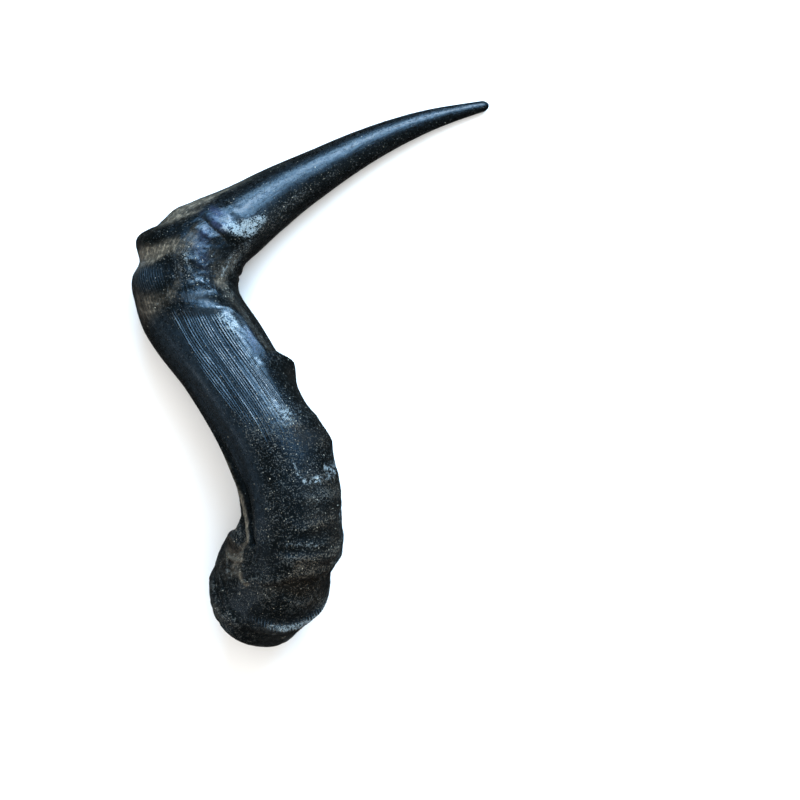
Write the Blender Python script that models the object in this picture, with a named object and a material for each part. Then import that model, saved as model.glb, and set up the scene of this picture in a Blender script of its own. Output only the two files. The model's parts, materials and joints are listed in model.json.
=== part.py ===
"""A red hartebeest horn lying on its side: one solid, from its cut base to its tip.

Metres, +Z up. The horn rests on three places: the low side of its cut base, the knee where it turns back
on itself, and its tip. The origin is on the resting surface, under the middle of the horn. Seen from above,
+Y runs from the base towards the knee, and the tip points to +X.
"""

import math

import bmesh
import bpy
import numpy as np

MM = 0.001

# Driving dimensions, in millimetres.
RIM_ROUNDING = 1.6  # how far the cut edge of the base is rounded over
TIP_ROUNDING = 5.0  # length of the blunt end of the tip
RELIEF_RADIUS = 38.0  # radius at which the angles of a ridge's path are unrolled
TURNING_SPAN = 24.0  # a ring faces along the growth line's course from this far before it to this far past it
KNEE = (245.0, 325.0)  # the stretch of the sharp bend, as distances from the base

# How finely the surface is cut into facets.
AROUND = 48  # facets round the horn
SHAFT_SPACING = 6.5  # mm between rings from the base to the knee
KNEE_SPACING = 3.0  # mm between rings round the knee, where the outer side is stretched
TIP_SPACING = 7.5  # mm between rings from the knee to the tip
RIM_STEPS = (0.0, 0.3)  # rings on the rim's rounding, as shares of it
TIP_STEPS = (0.55, 0.2, 0.04)  # rings on the blunt end, as shares of its length that are left
SHARP_EDGE = 55.0  # degrees between facets past which an edge is shaded sharp

# Near-black horn with a satin surface.
HORN_COLOUR = (0.022, 0.024, 0.028, 1.0)
HORN_ROUGHNESS = 0.42

# The line that the horn grew along, from the centre of the cut base to the tip, and its thickness there:
# x, y, height, then how far the surface lies from that line to the right, the top, the left and the bottom.
GROWTH_LINE = [
    (-41.0, -161.0, 29.0, 40.0, 43.0, 38.0, 40.5),
    (-25.5, -148.5, 46.0, 37.5, 40.5, 40.0, 39.0),
    (-14.0, -126.0, 61.5, 35.5, 36.5, 36.5, 36.0),
    (-13.0, -93.5, 68.5, 35.3, 34.0, 34.0, 33.5),
    (-21.0, -54.5, 66.5, 35.0, 33.5, 36.0, 33.0),
    (-39.5, -22.5, 59.0, 33.5, 33.5, 34.5, 33.0),
    (-68.0, 17.5, 47.0, 36.5, 34.0, 35.0, 34.0),
    (-87.3, 61.3, 36.5, 35.1, 34.0, 40.1, 35.0),
    (-84.0, 83.5, 34.0, 36.0, 33.5, 36.0, 34.0),
    (-72.3, 97.4, 31.8, 31.4, 30.5, 30.4, 30.5),
    (-53.1, 108.4, 29.0, 26.4, 27.0, 27.2, 27.0),
    (-25.5, 128.2, 24.5, 21.7, 21.0, 21.5, 21.0),
    (5.2, 146.9, 20.0, 17.1, 16.5, 16.7, 16.5),
    (31.9, 162.1, 15.8, 13.8, 12.8, 13.5, 12.8),
    (60.2, 175.5, 11.8, 10.6, 10.0, 10.6, 10.0),
    (84.3, 184.9, 8.6, 8.1, 7.5, 8.1, 7.5),
    (109.4, 192.3, 5.6, 5.5, 5.0, 5.5, 5.0),
    (129.3, 197.2, 3.5, 3.7, 3.5, 3.7, 3.5),
]

# Ridges, knobs and hollows of the surface. Each is a half width in mm and a path of points:
# distance from the base in mm, angle round the horn in degrees (0 right, 90 top, 180 left), and height in mm.
RELIEF = {
    "rim_ring": (5.0, [(38, 0, 1.6), (33, 18, 2.2), (26, 35, 2.4), (23, 60, 2.2), (16, 82, 1.4),
                       (5, 102, 2.6), (6, 124, 2.2), (10, 150, 0.2), (14, 200, 0.0), (22, 290, 1.2),
                       (38, 360, 1.6)]),
    "rim_valley": (7.0, [(49, -30, -2.0), (48, 0, -5.2), (46, 30, -3.0), (46, 52, -2.2), (46, 76, -1.6),
                         (43, 100, 0.0)]),
    "fourth_ring": (6.0, [(62, -150, 0.0), (65, -110, 1.0), (67, -40, 1.2), (67, 0, 1.4), (65, 25, 1.8),
                          (64, 50, 1.8), (63, 75, 1.4), (60, 95, 0.9), (54, 112, 0.0)]),
    "third_ring": (8.0, [(100, -150, 0.0), (99, -100, 1.0), (98, -50, 1.0), (97, 0, 1.2), (97, 30, 0.9),
                         (99, 60, 0.0)]),
    "second_ring": (7.0, [(130, -150, 0.0), (128, -110, 1.4), (126, -60, 1.6), (125, -10, 2.0),
                          (125, 20, 1.8), (127, 48, 0.0)]),
    "first_valley": (10.0, [(149, -60, 0.0), (150, 0, -2.4), (151, 40, 0.0)]),
    "first_ring": (7.0, [(158, -160, 0.0), (162, -120, 1.8), (167, -70, 2.6), (171, -20, 4.0), (175, 0, 6.4),
                         (180, 15, 4.6), (184, 30, 2.8), (195, 38, 2.4), (213, 40, 2.2), (228, 45, 2.2),
                         (237, 60, 2.2), (242, 80, 2.2), (247, 98, 2.2), (247, 112, 1.8), (243, 126, 0.0)]),
    "low_knob": (6.5, [(264, 104, 0.0), (266, 116, 0.9), (268, 130, 1.8), (270, 150, 2.6), (270, 180, 1.5),
                       (268, 200, 1.6), (266, 240, 1.2), (264, 290, 0.0)]),
    "knee_valley": (3.8, [(276, 205, 0.0), (277, 185, -2.6), (276, 154, -2.2), (279, 134, -1.4),
                          (284, 119, -1.0), (292, 112, 0.0)]),
    "middle_knob": (5.0, [(294, 126, 0.0), (290, 142, 2.6), (287, 155, 4.6), (286, 175, 6.5), (285, 200, 4.5),
                          (283, 240, 1.6), (281, 290, 0.0)]),
    "high_knob": (4.5, [(314, 140, 0.0), (308, 151, 1.0), (303, 165, 1.3), (301, 190, 0.8), (300, 235, 0.0)]),
    "crook": (7.0, [(306, -50, 0.0), (306, -15, 2.5), (306, 15, 2.5), (306, 40, 0.0)]),
    "tip_groove": (3.5, [(307, 128, 0.0), (309, 110, -1.0), (311, 90, -1.0), (312, 68, -0.8),
                         (312, 48, 0.0)]),
    "tip_ring": (4.5, [(314, 135, 0.0), (317, 108, 0.8), (321, 80, 0.9), (323, 55, 0.0)]),
    "tip_root_hollow": (11.0, [(346, -40, 0.0), (344, -10, -1.2), (342, 15, 0.0)]),
    "scoop": (16.0, [(232, 92, -1.5), (200, 90, -2.2), (160, 92, -1.0)]),
    "side_channel": (8.0, [(240, 150, -1.0), (200, 147, -2.2), (150, 147, -2.5), (100, 150, -2.5),
                           (70, 152, -1.5)]),
    "keel": (5.0, [(200, 170, 0.5), (150, 170, 1.8), (100, 168, 1.8), (60, 165, 2.2), (52, 160, 0.0)]),
    "base_flare": (12.0, [(84, 168, 0.0), (74, 172, 3.4), (64, 178, 6.8), (54, 186, 8.4), (45, 193, 8.4),
                          (34, 192, 8.2), (20, 186, 6.4), (8, 178, 3.4), (-2, 174, 0.6)]),
    "rim_lobe": (9.0, [(0, 48, 0.0), (0, 64, 1.3), (0, 80, 2.2), (0, 90, 1.6), (0, 100, 0.0),
                       (0, 116, -1.2), (0, 130, -1.0), (0, 142, 0.0), (0, 160, -1.2), (0, 180, 0.0)]),
}


def smooth_through(knots, rows):
    """A natural cubic spline through rows of values, as a function of the distance along the knots."""
    count = len(knots)
    gap = np.diff(knots)
    slope = np.diff(rows, axis=0) / gap[:, None]
    system = np.eye(count)
    right_side = np.zeros_like(rows)
    for i in range(1, count - 1):
        system[i, i - 1 : i + 2] = gap[i - 1], 2 * (gap[i - 1] + gap[i]), gap[i]
        right_side[i] = 6 * (slope[i] - slope[i - 1])
    bend = np.linalg.solve(system, right_side)

    def at(distance):
        i = np.clip(np.searchsorted(knots, distance) - 1, 0, count - 2)
        far = ((distance - knots[i]) / gap[i])[:, None]
        near = 1 - far
        curved = (near**3 - near) * bend[i] + (far**3 - far) * bend[i + 1]
        return near * rows[i] + far * rows[i + 1] + curved * gap[i][:, None] ** 2 / 6

    return at


def growth_line():
    """The spline through GROWTH_LINE and its length."""
    rows = np.array(GROWTH_LINE)
    steps = np.linalg.norm(np.diff(rows[:, :3], axis=0), axis=1)
    knots = np.concatenate([[0.0], np.cumsum(steps)])
    return smooth_through(knots, rows), knots[-1]


def directions(line, length, distance):
    """Which way the ring at each distance faces, with the sideways and upward directions square to that.

    The turning span fans the rings out evenly round a sharp bend, so they don't cross on its inner side.
    """
    past = line(np.minimum(distance + TURNING_SPAN, length))[:, :3]
    before = line(np.maximum(distance - TURNING_SPAN, 0.0))[:, :3]
    forward = past - before
    forward /= np.linalg.norm(forward, axis=1)[:, None]
    side = np.cross(forward, (0.0, 0.0, 1.0))
    side /= np.linalg.norm(side, axis=1)[:, None]
    return forward, side, np.cross(side, forward)


def relief_of(path, half_width, along, around):
    """Height of one ridge or hollow at points of the surface: greatest on its path, fading to each side."""
    best = np.full(along.shape, np.inf)
    height = np.zeros(along.shape)
    for turn in (-360, 0, 360):
        arc = np.radians(around + turn) * RELIEF_RADIUS
        for (a0, d0, h0), (a1, d1, h1) in zip(path, path[1:]):
            start = np.array([a0, math.radians(d0) * RELIEF_RADIUS])
            run = np.array([a1, math.radians(d1) * RELIEF_RADIUS]) - start
            share = ((along - start[0]) * run[0] + (arc - start[1]) * run[1]) / (run @ run)
            share = np.clip(share, 0.0, 1.0)
            away = np.hypot(along - start[0] - share * run[0], arc - start[1] - share * run[1])
            nearer = away < best
            best = np.where(nearer, away, best)
            height = np.where(nearer, h0 + share * (h1 - h0), height)
    return height * np.exp(-((best / half_width) ** 2))


def section_radius(quarters, angle):
    """Radius of the plain section at an angle, from its reach to the right, top, left and bottom."""
    right, top, left, bottom = quarters
    across = np.where(np.cos(angle) >= 0, right, left)
    upright = np.where(np.sin(angle) >= 0, top, bottom)
    return 1 / np.hypot(np.cos(angle) / across, np.sin(angle) / upright)


def surface(distance, angle_count):
    """Rings of points round the horn, one for each distance from the base."""
    line, length = growth_line()
    values = line(distance)
    _, side, up = directions(line, length, distance)
    angle = np.linspace(0, 2 * math.pi, angle_count, endpoint=False)
    along, around = np.meshgrid(distance, np.degrees(angle), indexing="ij")
    radius = section_radius([values[:, 3 + q, None] for q in range(4)], angle[None, :])
    for half_width, path in RELIEF.values():
        radius = radius + relief_of(path, half_width, along, around)
    from_end = np.clip((length - distance) / TIP_ROUNDING, 0, 1)
    radius *= np.sqrt(from_end * (2 - from_end))[:, None]
    on_rim = np.clip(1 - distance / RIM_ROUNDING, 0, 1)
    radius -= RIM_ROUNDING * (1 - np.sqrt(1 - on_rim**2))[:, None]
    outward = np.cos(angle)[None, :, None] * side[:, None] + np.sin(angle)[None, :, None] * up[:, None]
    return values[:, None, :3] + radius[:, :, None] * outward


def ring_distances(length):
    """Distances of the rings from the base: closest on the rim, round the knee and on the blunt tip."""
    rim = RIM_ROUNDING * np.array(RIM_STEPS)
    shaft = np.arange(RIM_ROUNDING, KNEE[0], SHAFT_SPACING)
    knee = np.arange(KNEE[0], KNEE[1], KNEE_SPACING)
    beyond = np.arange(KNEE[1], length - TIP_ROUNDING, TIP_SPACING)
    tip = length - TIP_ROUNDING * np.array([1.0, *TIP_STEPS])
    return np.concatenate([rim, shaft, knee, beyond, tip])


def horn_mesh():
    """The horn's closed skin: quads between the rings, a fan over the cut base and one over the tip."""
    line, length = growth_line()
    rings = surface(ring_distances(length), AROUND)
    lowest, highest = rings.reshape(-1, 3).min(0), rings.reshape(-1, 3).max(0)
    middle_bottom = np.array([*(lowest + highest)[:2] / 2, lowest[2]])
    made = bmesh.new()
    loops = [[made.verts.new((point - middle_bottom) * MM) for point in ring] for ring in rings]
    for near, far in zip(loops, loops[1:]):
        for i in range(AROUND):
            following = (i + 1) % AROUND
            made.faces.new((near[i], near[following], far[following], far[i]))
    ends = line(np.array([0.0, length]))[:, :3] - middle_bottom
    base_centre, tip_end = (made.verts.new(point * MM) for point in ends)
    for i in range(AROUND):
        following = (i + 1) % AROUND
        made.faces.new((loops[0][following], loops[0][i], base_centre))
        made.faces.new((loops[-1][i], loops[-1][following], tip_end))
    bmesh.ops.recalc_face_normals(made, faces=made.faces)
    mesh = bpy.data.meshes.new("horn")
    made.to_mesh(mesh)
    made.free()
    mesh.shade_smooth()
    mesh.set_sharp_from_angle(angle=math.radians(SHARP_EDGE))
    return mesh


def horn_material():
    """Near-black horn with a satin surface."""
    material = bpy.data.materials.new("horn")
    material.use_nodes = True
    shader = material.node_tree.nodes["Principled BSDF"]
    shader.inputs["Base Color"].default_value = HORN_COLOUR
    shader.inputs["Roughness"].default_value = HORN_ROUGHNESS
    shader.inputs["Metallic"].default_value = 0.0
    return material


def main():
    """Clears the scene and makes the horn."""
    for old in list(bpy.data.objects):
        bpy.data.objects.remove(old)
    mesh = horn_mesh()
    mesh.materials.append(horn_material())
    horn = bpy.data.objects.new("horn", mesh)
    bpy.context.scene.collection.objects.link(horn)


main()
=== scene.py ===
# %% [markdown]
# A red hartebeest's horn is one piece of keratin that grew over a bony core: a thick cut base, a shaft with
# rings across it, a sharp turn backwards, and a long smooth tip. Its solid comes from the frame. This lesson
# makes the fine surface that is seen, and its finish. The frame is loaded first and is never moved, so that
# every size below can be taken from it.

import json
import math

import bpy
import numpy as np
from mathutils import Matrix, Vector, noise


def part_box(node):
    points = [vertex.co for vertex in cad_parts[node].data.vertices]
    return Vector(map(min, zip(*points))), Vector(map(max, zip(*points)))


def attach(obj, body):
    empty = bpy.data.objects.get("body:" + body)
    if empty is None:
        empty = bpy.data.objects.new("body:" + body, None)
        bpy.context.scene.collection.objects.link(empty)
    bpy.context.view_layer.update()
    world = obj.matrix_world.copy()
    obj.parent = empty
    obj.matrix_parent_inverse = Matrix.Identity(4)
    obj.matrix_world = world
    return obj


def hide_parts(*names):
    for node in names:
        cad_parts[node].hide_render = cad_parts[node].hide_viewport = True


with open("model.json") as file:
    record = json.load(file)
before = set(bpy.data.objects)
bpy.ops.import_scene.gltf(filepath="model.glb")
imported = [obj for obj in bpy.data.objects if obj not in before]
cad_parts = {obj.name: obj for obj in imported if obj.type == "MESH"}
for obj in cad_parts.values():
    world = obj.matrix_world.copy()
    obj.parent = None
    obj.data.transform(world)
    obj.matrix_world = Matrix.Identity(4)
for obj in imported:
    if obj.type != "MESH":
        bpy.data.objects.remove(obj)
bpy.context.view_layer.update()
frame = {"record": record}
MM = 0.001
low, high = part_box("horn")
print("horn's solid, in mm:", [round(side / MM, 1) for side in high - low])

# %% [markdown]
# The camera looks straight down, as one would photograph a thing laid out flat. A long lens keeps the
# outline true. At the height of most of the surface, the picture's side spans a known width, so the camera's
# distance follows from its lens.

# %% Camera
FRAME_WIDTH = 0.576  # metres across the picture at the height that is in true scale
TRUE_HEIGHT = 0.036  # metres above the floor
LENS, SENSOR = 100.0, 36.0  # millimetres
FRAME_CENTRE = (0.06381, -0.02135)  # the horn lies left of the picture's middle

camera_data = bpy.data.cameras.new("camera")
camera_data.lens, camera_data.sensor_width = LENS, SENSOR
camera_data.clip_end = 20.0
camera = bpy.data.objects.new("camera", camera_data)
camera.location = (*FRAME_CENTRE, TRUE_HEIGHT + FRAME_WIDTH * LENS / SENSOR)
bpy.context.scene.collection.objects.link(camera)
bpy.context.scene.camera = camera
print("camera height", round(camera.location.z, 3), "m")

# %% [markdown]
# A horn grows at its base, so its form is a section carried along a curved line. The line and the section's
# four radii are given where the form changes, and a spline joins them. One could model this with a curve and
# a bevel, but rings computed from a line also tell each point how far along and how far round it lies, and
# the rings, grooves and marks of a horn are placed by just those two numbers.

# %% The growth line and its sections
# x, y, height, then the reach to the right, the top, the left and the bottom, all in mm.
GROWTH_LINE = [
    (-41.0, -161.0, 29.0, 40.0, 43.0, 38.0, 40.5),
    (-25.5, -148.5, 46.0, 37.5, 40.5, 40.0, 39.0),
    (-14.0, -126.0, 61.5, 35.5, 36.5, 36.5, 36.0),
    (-13.0, -93.5, 68.5, 35.3, 34.0, 34.0, 33.5),
    (-21.0, -54.5, 66.5, 35.0, 33.5, 36.0, 33.0),
    (-39.5, -22.5, 59.0, 33.5, 33.5, 34.5, 33.0),
    (-68.0, 17.5, 47.0, 36.5, 34.0, 35.0, 34.0),
    (-87.3, 61.3, 36.5, 35.1, 34.0, 40.1, 35.0),
    (-84.0, 83.5, 34.0, 36.0, 33.5, 36.0, 34.0),
    (-72.3, 97.4, 31.8, 31.4, 30.5, 30.4, 30.5),
    (-53.1, 108.4, 29.0, 26.4, 27.0, 27.2, 27.0),
    (-25.5, 128.2, 24.5, 21.7, 21.0, 21.5, 21.0),
    (5.2, 146.9, 20.0, 17.1, 16.5, 16.7, 16.5),
    (31.9, 162.1, 15.8, 13.8, 12.8, 13.5, 12.8),
    (60.2, 175.5, 11.8, 10.6, 10.0, 10.6, 10.0),
    (84.3, 184.9, 8.6, 8.1, 7.5, 8.1, 7.5),
    (109.4, 192.3, 5.6, 5.5, 5.0, 5.5, 5.0),
    (129.3, 197.2, 3.5, 3.7, 3.5, 3.7, 3.5),
]
RIM_ROUNDING = 1.6  # mm, the rounded edge of the cut base
TIP_ROUNDING = 5.0  # mm, the blunt end of the tip
RELIEF_RADIUS = 38.0  # mm, at which angles round the horn are unrolled
TURNING_SPAN = 24.0  # mm, over which the rings' turning is evened out
print(len(GROWTH_LINE), "sections")

# %% [markdown]
# A natural cubic spline passes through every given point and bends as little as it can between them, like a
# thin wooden batten, which suits a thing that grew. It joins all seven numbers of the sections at once. The
# record says where the cut's middle lies in the frame, and that moves the line into place.

# %% A smooth line through the sections
def smooth_through(knots, rows):
    """A natural cubic spline through rows of values, as a function of the distance along the knots."""
    count = len(knots)
    gap = np.diff(knots)
    slope = np.diff(rows, axis=0) / gap[:, None]
    system = np.eye(count)
    right_side = np.zeros_like(rows)
    for i in range(1, count - 1):
        system[i, i - 1 : i + 2] = gap[i - 1], 2 * (gap[i - 1] + gap[i]), gap[i]
        right_side[i] = 6 * (slope[i] - slope[i - 1])
    bend = np.linalg.solve(system, right_side)

    def at(distance):
        i = np.clip(np.searchsorted(knots, distance) - 1, 0, count - 2)
        far = ((distance - knots[i]) / gap[i])[:, None]
        near = 1 - far
        curved = (near**3 - near) * bend[i] + (far**3 - far) * bend[i + 1]
        return near * rows[i] + far * rows[i + 1] + curved * gap[i][:, None] ** 2 / 6

    return at


line_rows = np.array(GROWTH_LINE)
steps = np.linalg.norm(np.diff(line_rows[:, :3], axis=0), axis=1)
knots = np.concatenate([[0.0], np.cumsum(steps)])
growth_line, horn_length = smooth_through(knots, line_rows), knots[-1]
cut_base = next(mount for mount in frame["record"]["mounts"] if mount["name"] == "cut_base")
to_frame = np.array(cut_base["pos_m"]) / MM - line_rows[0, :3]
print("length along the horn", round(horn_length, 1), "mm; the line moves by", to_frame.round(2), "mm")

# %% [markdown]
# The surface needs many points where it is finely marked and few where it is plain. So the rings stand close
# on the base and on the knee, and the points of a ring stand close on the side that faces up. A subdivision
# modifier would spend as many faces on the smooth underside as on the marked face.

# %% Where the points of the surface lie
# Start and end in mm from the cut base, and the spacing of the rings between them in mm.
STRETCHES = [(RIM_ROUNDING, 16.0, 1.35), (16.0, 42.0, 0.9), (42.0, 75.0, 1.3), (75.0, 245.0, 2.0),
             (245.0, 335.0, 1.05), (335.0, None, 2.8)]
RIM_STEPS = (0.0, 0.08, 0.3, 0.62)  # rings on the rim's rounding, as shares of it
TIP_STEPS = (1.0, 0.8, 0.6, 0.42, 0.27, 0.15, 0.06, 0.015)  # rings on the blunt end, as shares that are left
# Degrees round the horn (0 right, 90 up, 180 left) where a stretch begins, and the points in it.
ROUND_THE_HORN = [(-12.0, 52), (50.0, 118), (122.0, 72), (192.0, 50)]

blunt_from = horn_length - TIP_ROUNDING
rings = [RIM_ROUNDING * np.array(RIM_STEPS)]
rings += [np.arange(start, end or blunt_from, spacing) for start, end, spacing in STRETCHES]
rings += [horn_length - TIP_ROUNDING * np.array(TIP_STEPS)]
distance = np.concatenate(rings)
ends = [start for start, _ in ROUND_THE_HORN[1:]] + [ROUND_THE_HORN[0][0] + 360]
angle = np.concatenate([
    np.linspace(start, end, points, endpoint=False) for (start, points), end in zip(ROUND_THE_HORN, ends)
])
along, around = np.meshgrid(distance, angle, indexing="ij")
print(len(distance), "rings of", len(angle), "points")

# %% [markdown]
# Everything that stands out of the plain form or sinks into it follows a path: so far along, so far round, so
# high, and so wide. One function turns a path into a height at every point, greatest on the path and fading
# to each side like a bell. The same function will place dust and scuffs later, with strengths for heights.

# %% Paths on the surface
def along_path(half_width, path):
    """The path's own height on it, fading to each side, at every point of the surface."""
    best = np.full(along.shape, np.inf)
    height = np.zeros(along.shape)
    for turn in (-360, 0, 360):
        arc = np.radians(around + turn) * RELIEF_RADIUS
        for (a0, d0, h0), (a1, d1, h1) in zip(path, path[1:]):
            start = np.array([a0, math.radians(d0) * RELIEF_RADIUS])
            run = np.array([a1, math.radians(d1) * RELIEF_RADIUS]) - start
            share = ((along - start[0]) * run[0] + (arc - start[1]) * run[1]) / (run @ run)
            share = np.clip(share, 0.0, 1.0)
            away = np.hypot(along - start[0] - share * run[0], arc - start[1] - share * run[1])
            nearer = away < best
            best = np.where(nearer, away, best)
            height = np.where(nearer, h0 + share * (h1 - h0), height)
    return height * np.exp(-((best / half_width) ** 2))


def raised(paths):
    """The heights of several paths together. A path has a name, a half width in mm, and its points."""
    return sum(along_path(half_width, path) for half_width, path in paths.values())


# %% [markdown]
# A horn is ringed where its growth slowed. On this one the rings are strongest across its right side and top,
# and flatten as they go round. There is a ring at the rim, with a deep valley behind it, and four more up the
# shaft. The last of them turns up beside the hollow face and closes over its top. Paths suit them better than
# sculpting, because a path can be read and changed point by point.

# %% Rings and valleys
# A point is its distance from the cut base in mm, its degrees round the horn, and its height in mm.
RINGS = {
    "rim_ring": (5.0, [(38, 0, 1.6), (33, 18, 2.2), (26, 35, 2.4), (23, 60, 2.2), (16, 82, 1.4),
                       (5, 102, 2.6), (6, 124, 2.2), (10, 150, 0.2), (14, 200, 0.0), (22, 290, 1.2),
                       (38, 360, 1.6)]),
    "rim_valley": (7.0, [(49, -30, -2.0), (48, 0, -5.2), (46, 30, -3.0), (46, 52, -2.2), (46, 76, -1.6),
                         (43, 100, 0.0)]),
    "fourth_ring": (6.0, [(62, -150, 0.0), (65, -110, 1.0), (67, -40, 1.2), (67, 0, 1.4), (65, 25, 1.8),
                          (64, 50, 1.8), (63, 75, 1.4), (60, 95, 0.9), (54, 112, 0.0)]),
    "third_ring": (8.0, [(100, -150, 0.0), (99, -100, 1.0), (98, -50, 1.0), (97, 0, 1.2), (97, 30, 0.9),
                         (99, 60, 0.0)]),
    "second_ring": (7.0, [(130, -150, 0.0), (128, -110, 1.4), (126, -60, 1.6), (125, -10, 2.0),
                          (125, 20, 1.8), (127, 48, 0.0)]),
    "first_valley": (10.0, [(149, -60, 0.0), (150, 0, -2.4), (151, 40, 0.0)]),
    "first_ring": (7.0, [(158, -160, 0.0), (162, -120, 1.8), (167, -70, 2.6), (171, -20, 4.0), (175, 0, 6.4),
                         (180, 15, 4.6), (184, 30, 2.8), (195, 38, 2.4), (213, 40, 2.2), (228, 45, 2.2),
                         (237, 60, 2.2), (242, 80, 2.2), (247, 98, 2.2), (247, 112, 1.8), (243, 126, 0.0)]),
}
height = raised(RINGS)
print("rings from", height.min().round(1), "to", height.max().round(1), "mm")

# %% [markdown]
# Where the horn turns back, its rings end as three knobs on the outer side, with a deep valley between the
# first two. On the inner side they run together in the crook, and a groove and a low ring mark where the
# smooth tip begins.

# %% Knobs and the root of the tip
KNEE = {
    "low_knob": (6.5, [(264, 104, 0.0), (266, 116, 0.9), (268, 130, 1.8), (270, 150, 2.6), (270, 180, 1.5),
                       (268, 200, 1.6), (266, 240, 1.2), (264, 290, 0.0)]),
    "knee_valley": (3.8, [(276, 205, 0.0), (277, 185, -2.6), (276, 154, -2.2), (279, 134, -1.4),
                          (284, 119, -1.0), (292, 112, 0.0)]),
    "middle_knob": (5.0, [(294, 126, 0.0), (290, 142, 2.6), (287, 155, 4.6), (286, 175, 6.5), (285, 200, 4.5),
                          (283, 240, 1.6), (281, 290, 0.0)]),
    "high_knob": (4.5, [(314, 140, 0.0), (308, 151, 1.0), (303, 165, 1.3), (301, 190, 0.8), (300, 235, 0.0)]),
    "crook": (7.0, [(306, -50, 0.0), (306, -15, 2.5), (306, 15, 2.5), (306, 40, 0.0)]),
    "tip_groove": (3.5, [(307, 128, 0.0), (309, 110, -1.0), (311, 90, -1.0), (312, 68, -0.8),
                         (312, 48, 0.0)]),
    "tip_ring": (4.5, [(314, 135, 0.0), (317, 108, 0.8), (321, 80, 0.9), (323, 55, 0.0)]),
    "tip_root_hollow": (11.0, [(346, -40, 0.0), (344, -10, -1.2), (342, 15, 0.0)]),
}
height = height + raised(KNEE)
print("with the knobs from", height.min().round(1), "to", height.max().round(1), "mm")

# %% [markdown]
# The rest of the main form is broad: a shallow scoop under the ribbed face, a channel down the left side with
# a blunt keel beyond it, and the base, which flares to the left over its cut and has an uneven edge.

# %% Scoop, keel and flaring base
BROAD_FORMS = {
    "scoop": (16.0, [(232, 92, -1.5), (200, 90, -2.2), (160, 92, -1.0)]),
    "side_channel": (8.0, [(240, 150, -1.0), (200, 147, -2.2), (150, 147, -2.5), (100, 150, -2.5),
                           (70, 152, -1.5)]),
    "keel": (5.0, [(200, 170, 0.5), (150, 170, 1.8), (100, 168, 1.8), (60, 165, 2.2), (52, 160, 0.0)]),
    "base_flare": (12.0, [(84, 168, 0.0), (74, 172, 3.4), (64, 178, 6.8), (54, 186, 8.4), (45, 193, 8.4),
                          (34, 192, 8.2), (20, 186, 6.4), (8, 178, 3.4), (-2, 174, 0.6)]),
    "rim_lobe": (9.0, [(0, 48, 0.0), (0, 64, 1.3), (0, 80, 2.2), (0, 90, 1.6), (0, 100, 0.0),
                       (0, 116, -1.2), (0, 130, -1.0), (0, 142, 0.0), (0, 160, -1.2), (0, 180, 0.0)]),
}
height = height + raised(BROAD_FORMS)
print("main forms from", height.min().round(1), "to", height.max().round(1), "mm")

# %% [markdown]
# Closer up, the horn has crisp marks that a cast of it would show too. They go into the mesh as narrower
# paths, because a bump map would vanish at the outline and in the exported mesh. First come the sharp crests
# on the rings, with the grooves under them, and the smooth shoulder beside the ribbed face.

# %% Crests of the rings
CRESTS = {
    "first_crest": (2.0, [(172, -12, 0.0), (176, 2, 0.8), (181, 20, 0.8), (186, 38, 0.9), (202, 41, 0.8),
                          (223, 40, 0.8), (231, 50, 0.9), (233, 62, 0.8), (237, 78, 0.8), (240, 88, 0.7),
                          (244, 104, 0.8), (244, 112, 0.7), (240, 122, 0.0)]),
    "first_shoulder": (7.0, [(236, 72, 0.0), (229, 62, 1.0), (221, 55, 2.1), (212, 52, 2.7), (203, 51, 2.2),
                             (194, 49, 1.6), (182, 47, 0.4)]),
    "shoulder_groove": (1.5, [(211, 55, 0.0), (207, 54, -0.3), (202, 50, -0.5), (195, 48, -0.5),
                              (188, 49, 0.0)]),
    "inner_patch": (4.2, [(222, 60, 0.0), (208, 60, 0.5), (198, 60, 0.8), (190, 59, 0.8), (185, 56, 0.3)]),
    "under_first_crest": (2.2, [(236, 116, 0.0), (239, 104, -0.5), (236, 90, -0.6), (232, 78, -0.6),
                                (228, 66, -0.4), (222, 58, 0.0)]),
    "first_ring_end": (3.0, [(184, 56, 0.0), (181, 50, 0.9), (177, 40, 0.9), (172, 28, 0.0)]),
    "second_crest": (2.0, [(122, -30, 0.0), (123, 0, 0.7), (123, 22, 0.6), (125, 44, 0.0)]),
    "third_crest": (2.4, [(104, -20, 0.0), (105, 6, 0.5), (107, 24, 0.6), (105, 48, 0.4), (107, 66, 0.3),
                          (112, 78, 0.0)]),
    "fourth_edge": (1.8, [(64, -20, 0.0), (62, 7, 1.2), (58, 30, 1.2), (57, 50, 1.1), (57, 74, 1.0),
                          (52, 90, 1.0), (48, 103, 0.9), (45, 116, 1.1), (37, 120, 1.0), (28, 120, 0.0)]),
    "under_fourth_edge": (1.7, [(59, 5, 0.0), (54, 27, -1.2), (53, 52, -1.1), (52, 72, -0.9), (48, 88, -0.8),
                                (44, 102, -0.7), (41, 112, 0.0)]),
}
height = height + raised(CRESTS)
print("with the crests from", height.min().round(1), "to", height.max().round(1), "mm")

# %% [markdown]
# The base is folded across, like skin on a knuckle. The folds lie between the rings, and the flare to the
# left is creased lengthways. The ring at the rim gets its crest here too.

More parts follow.
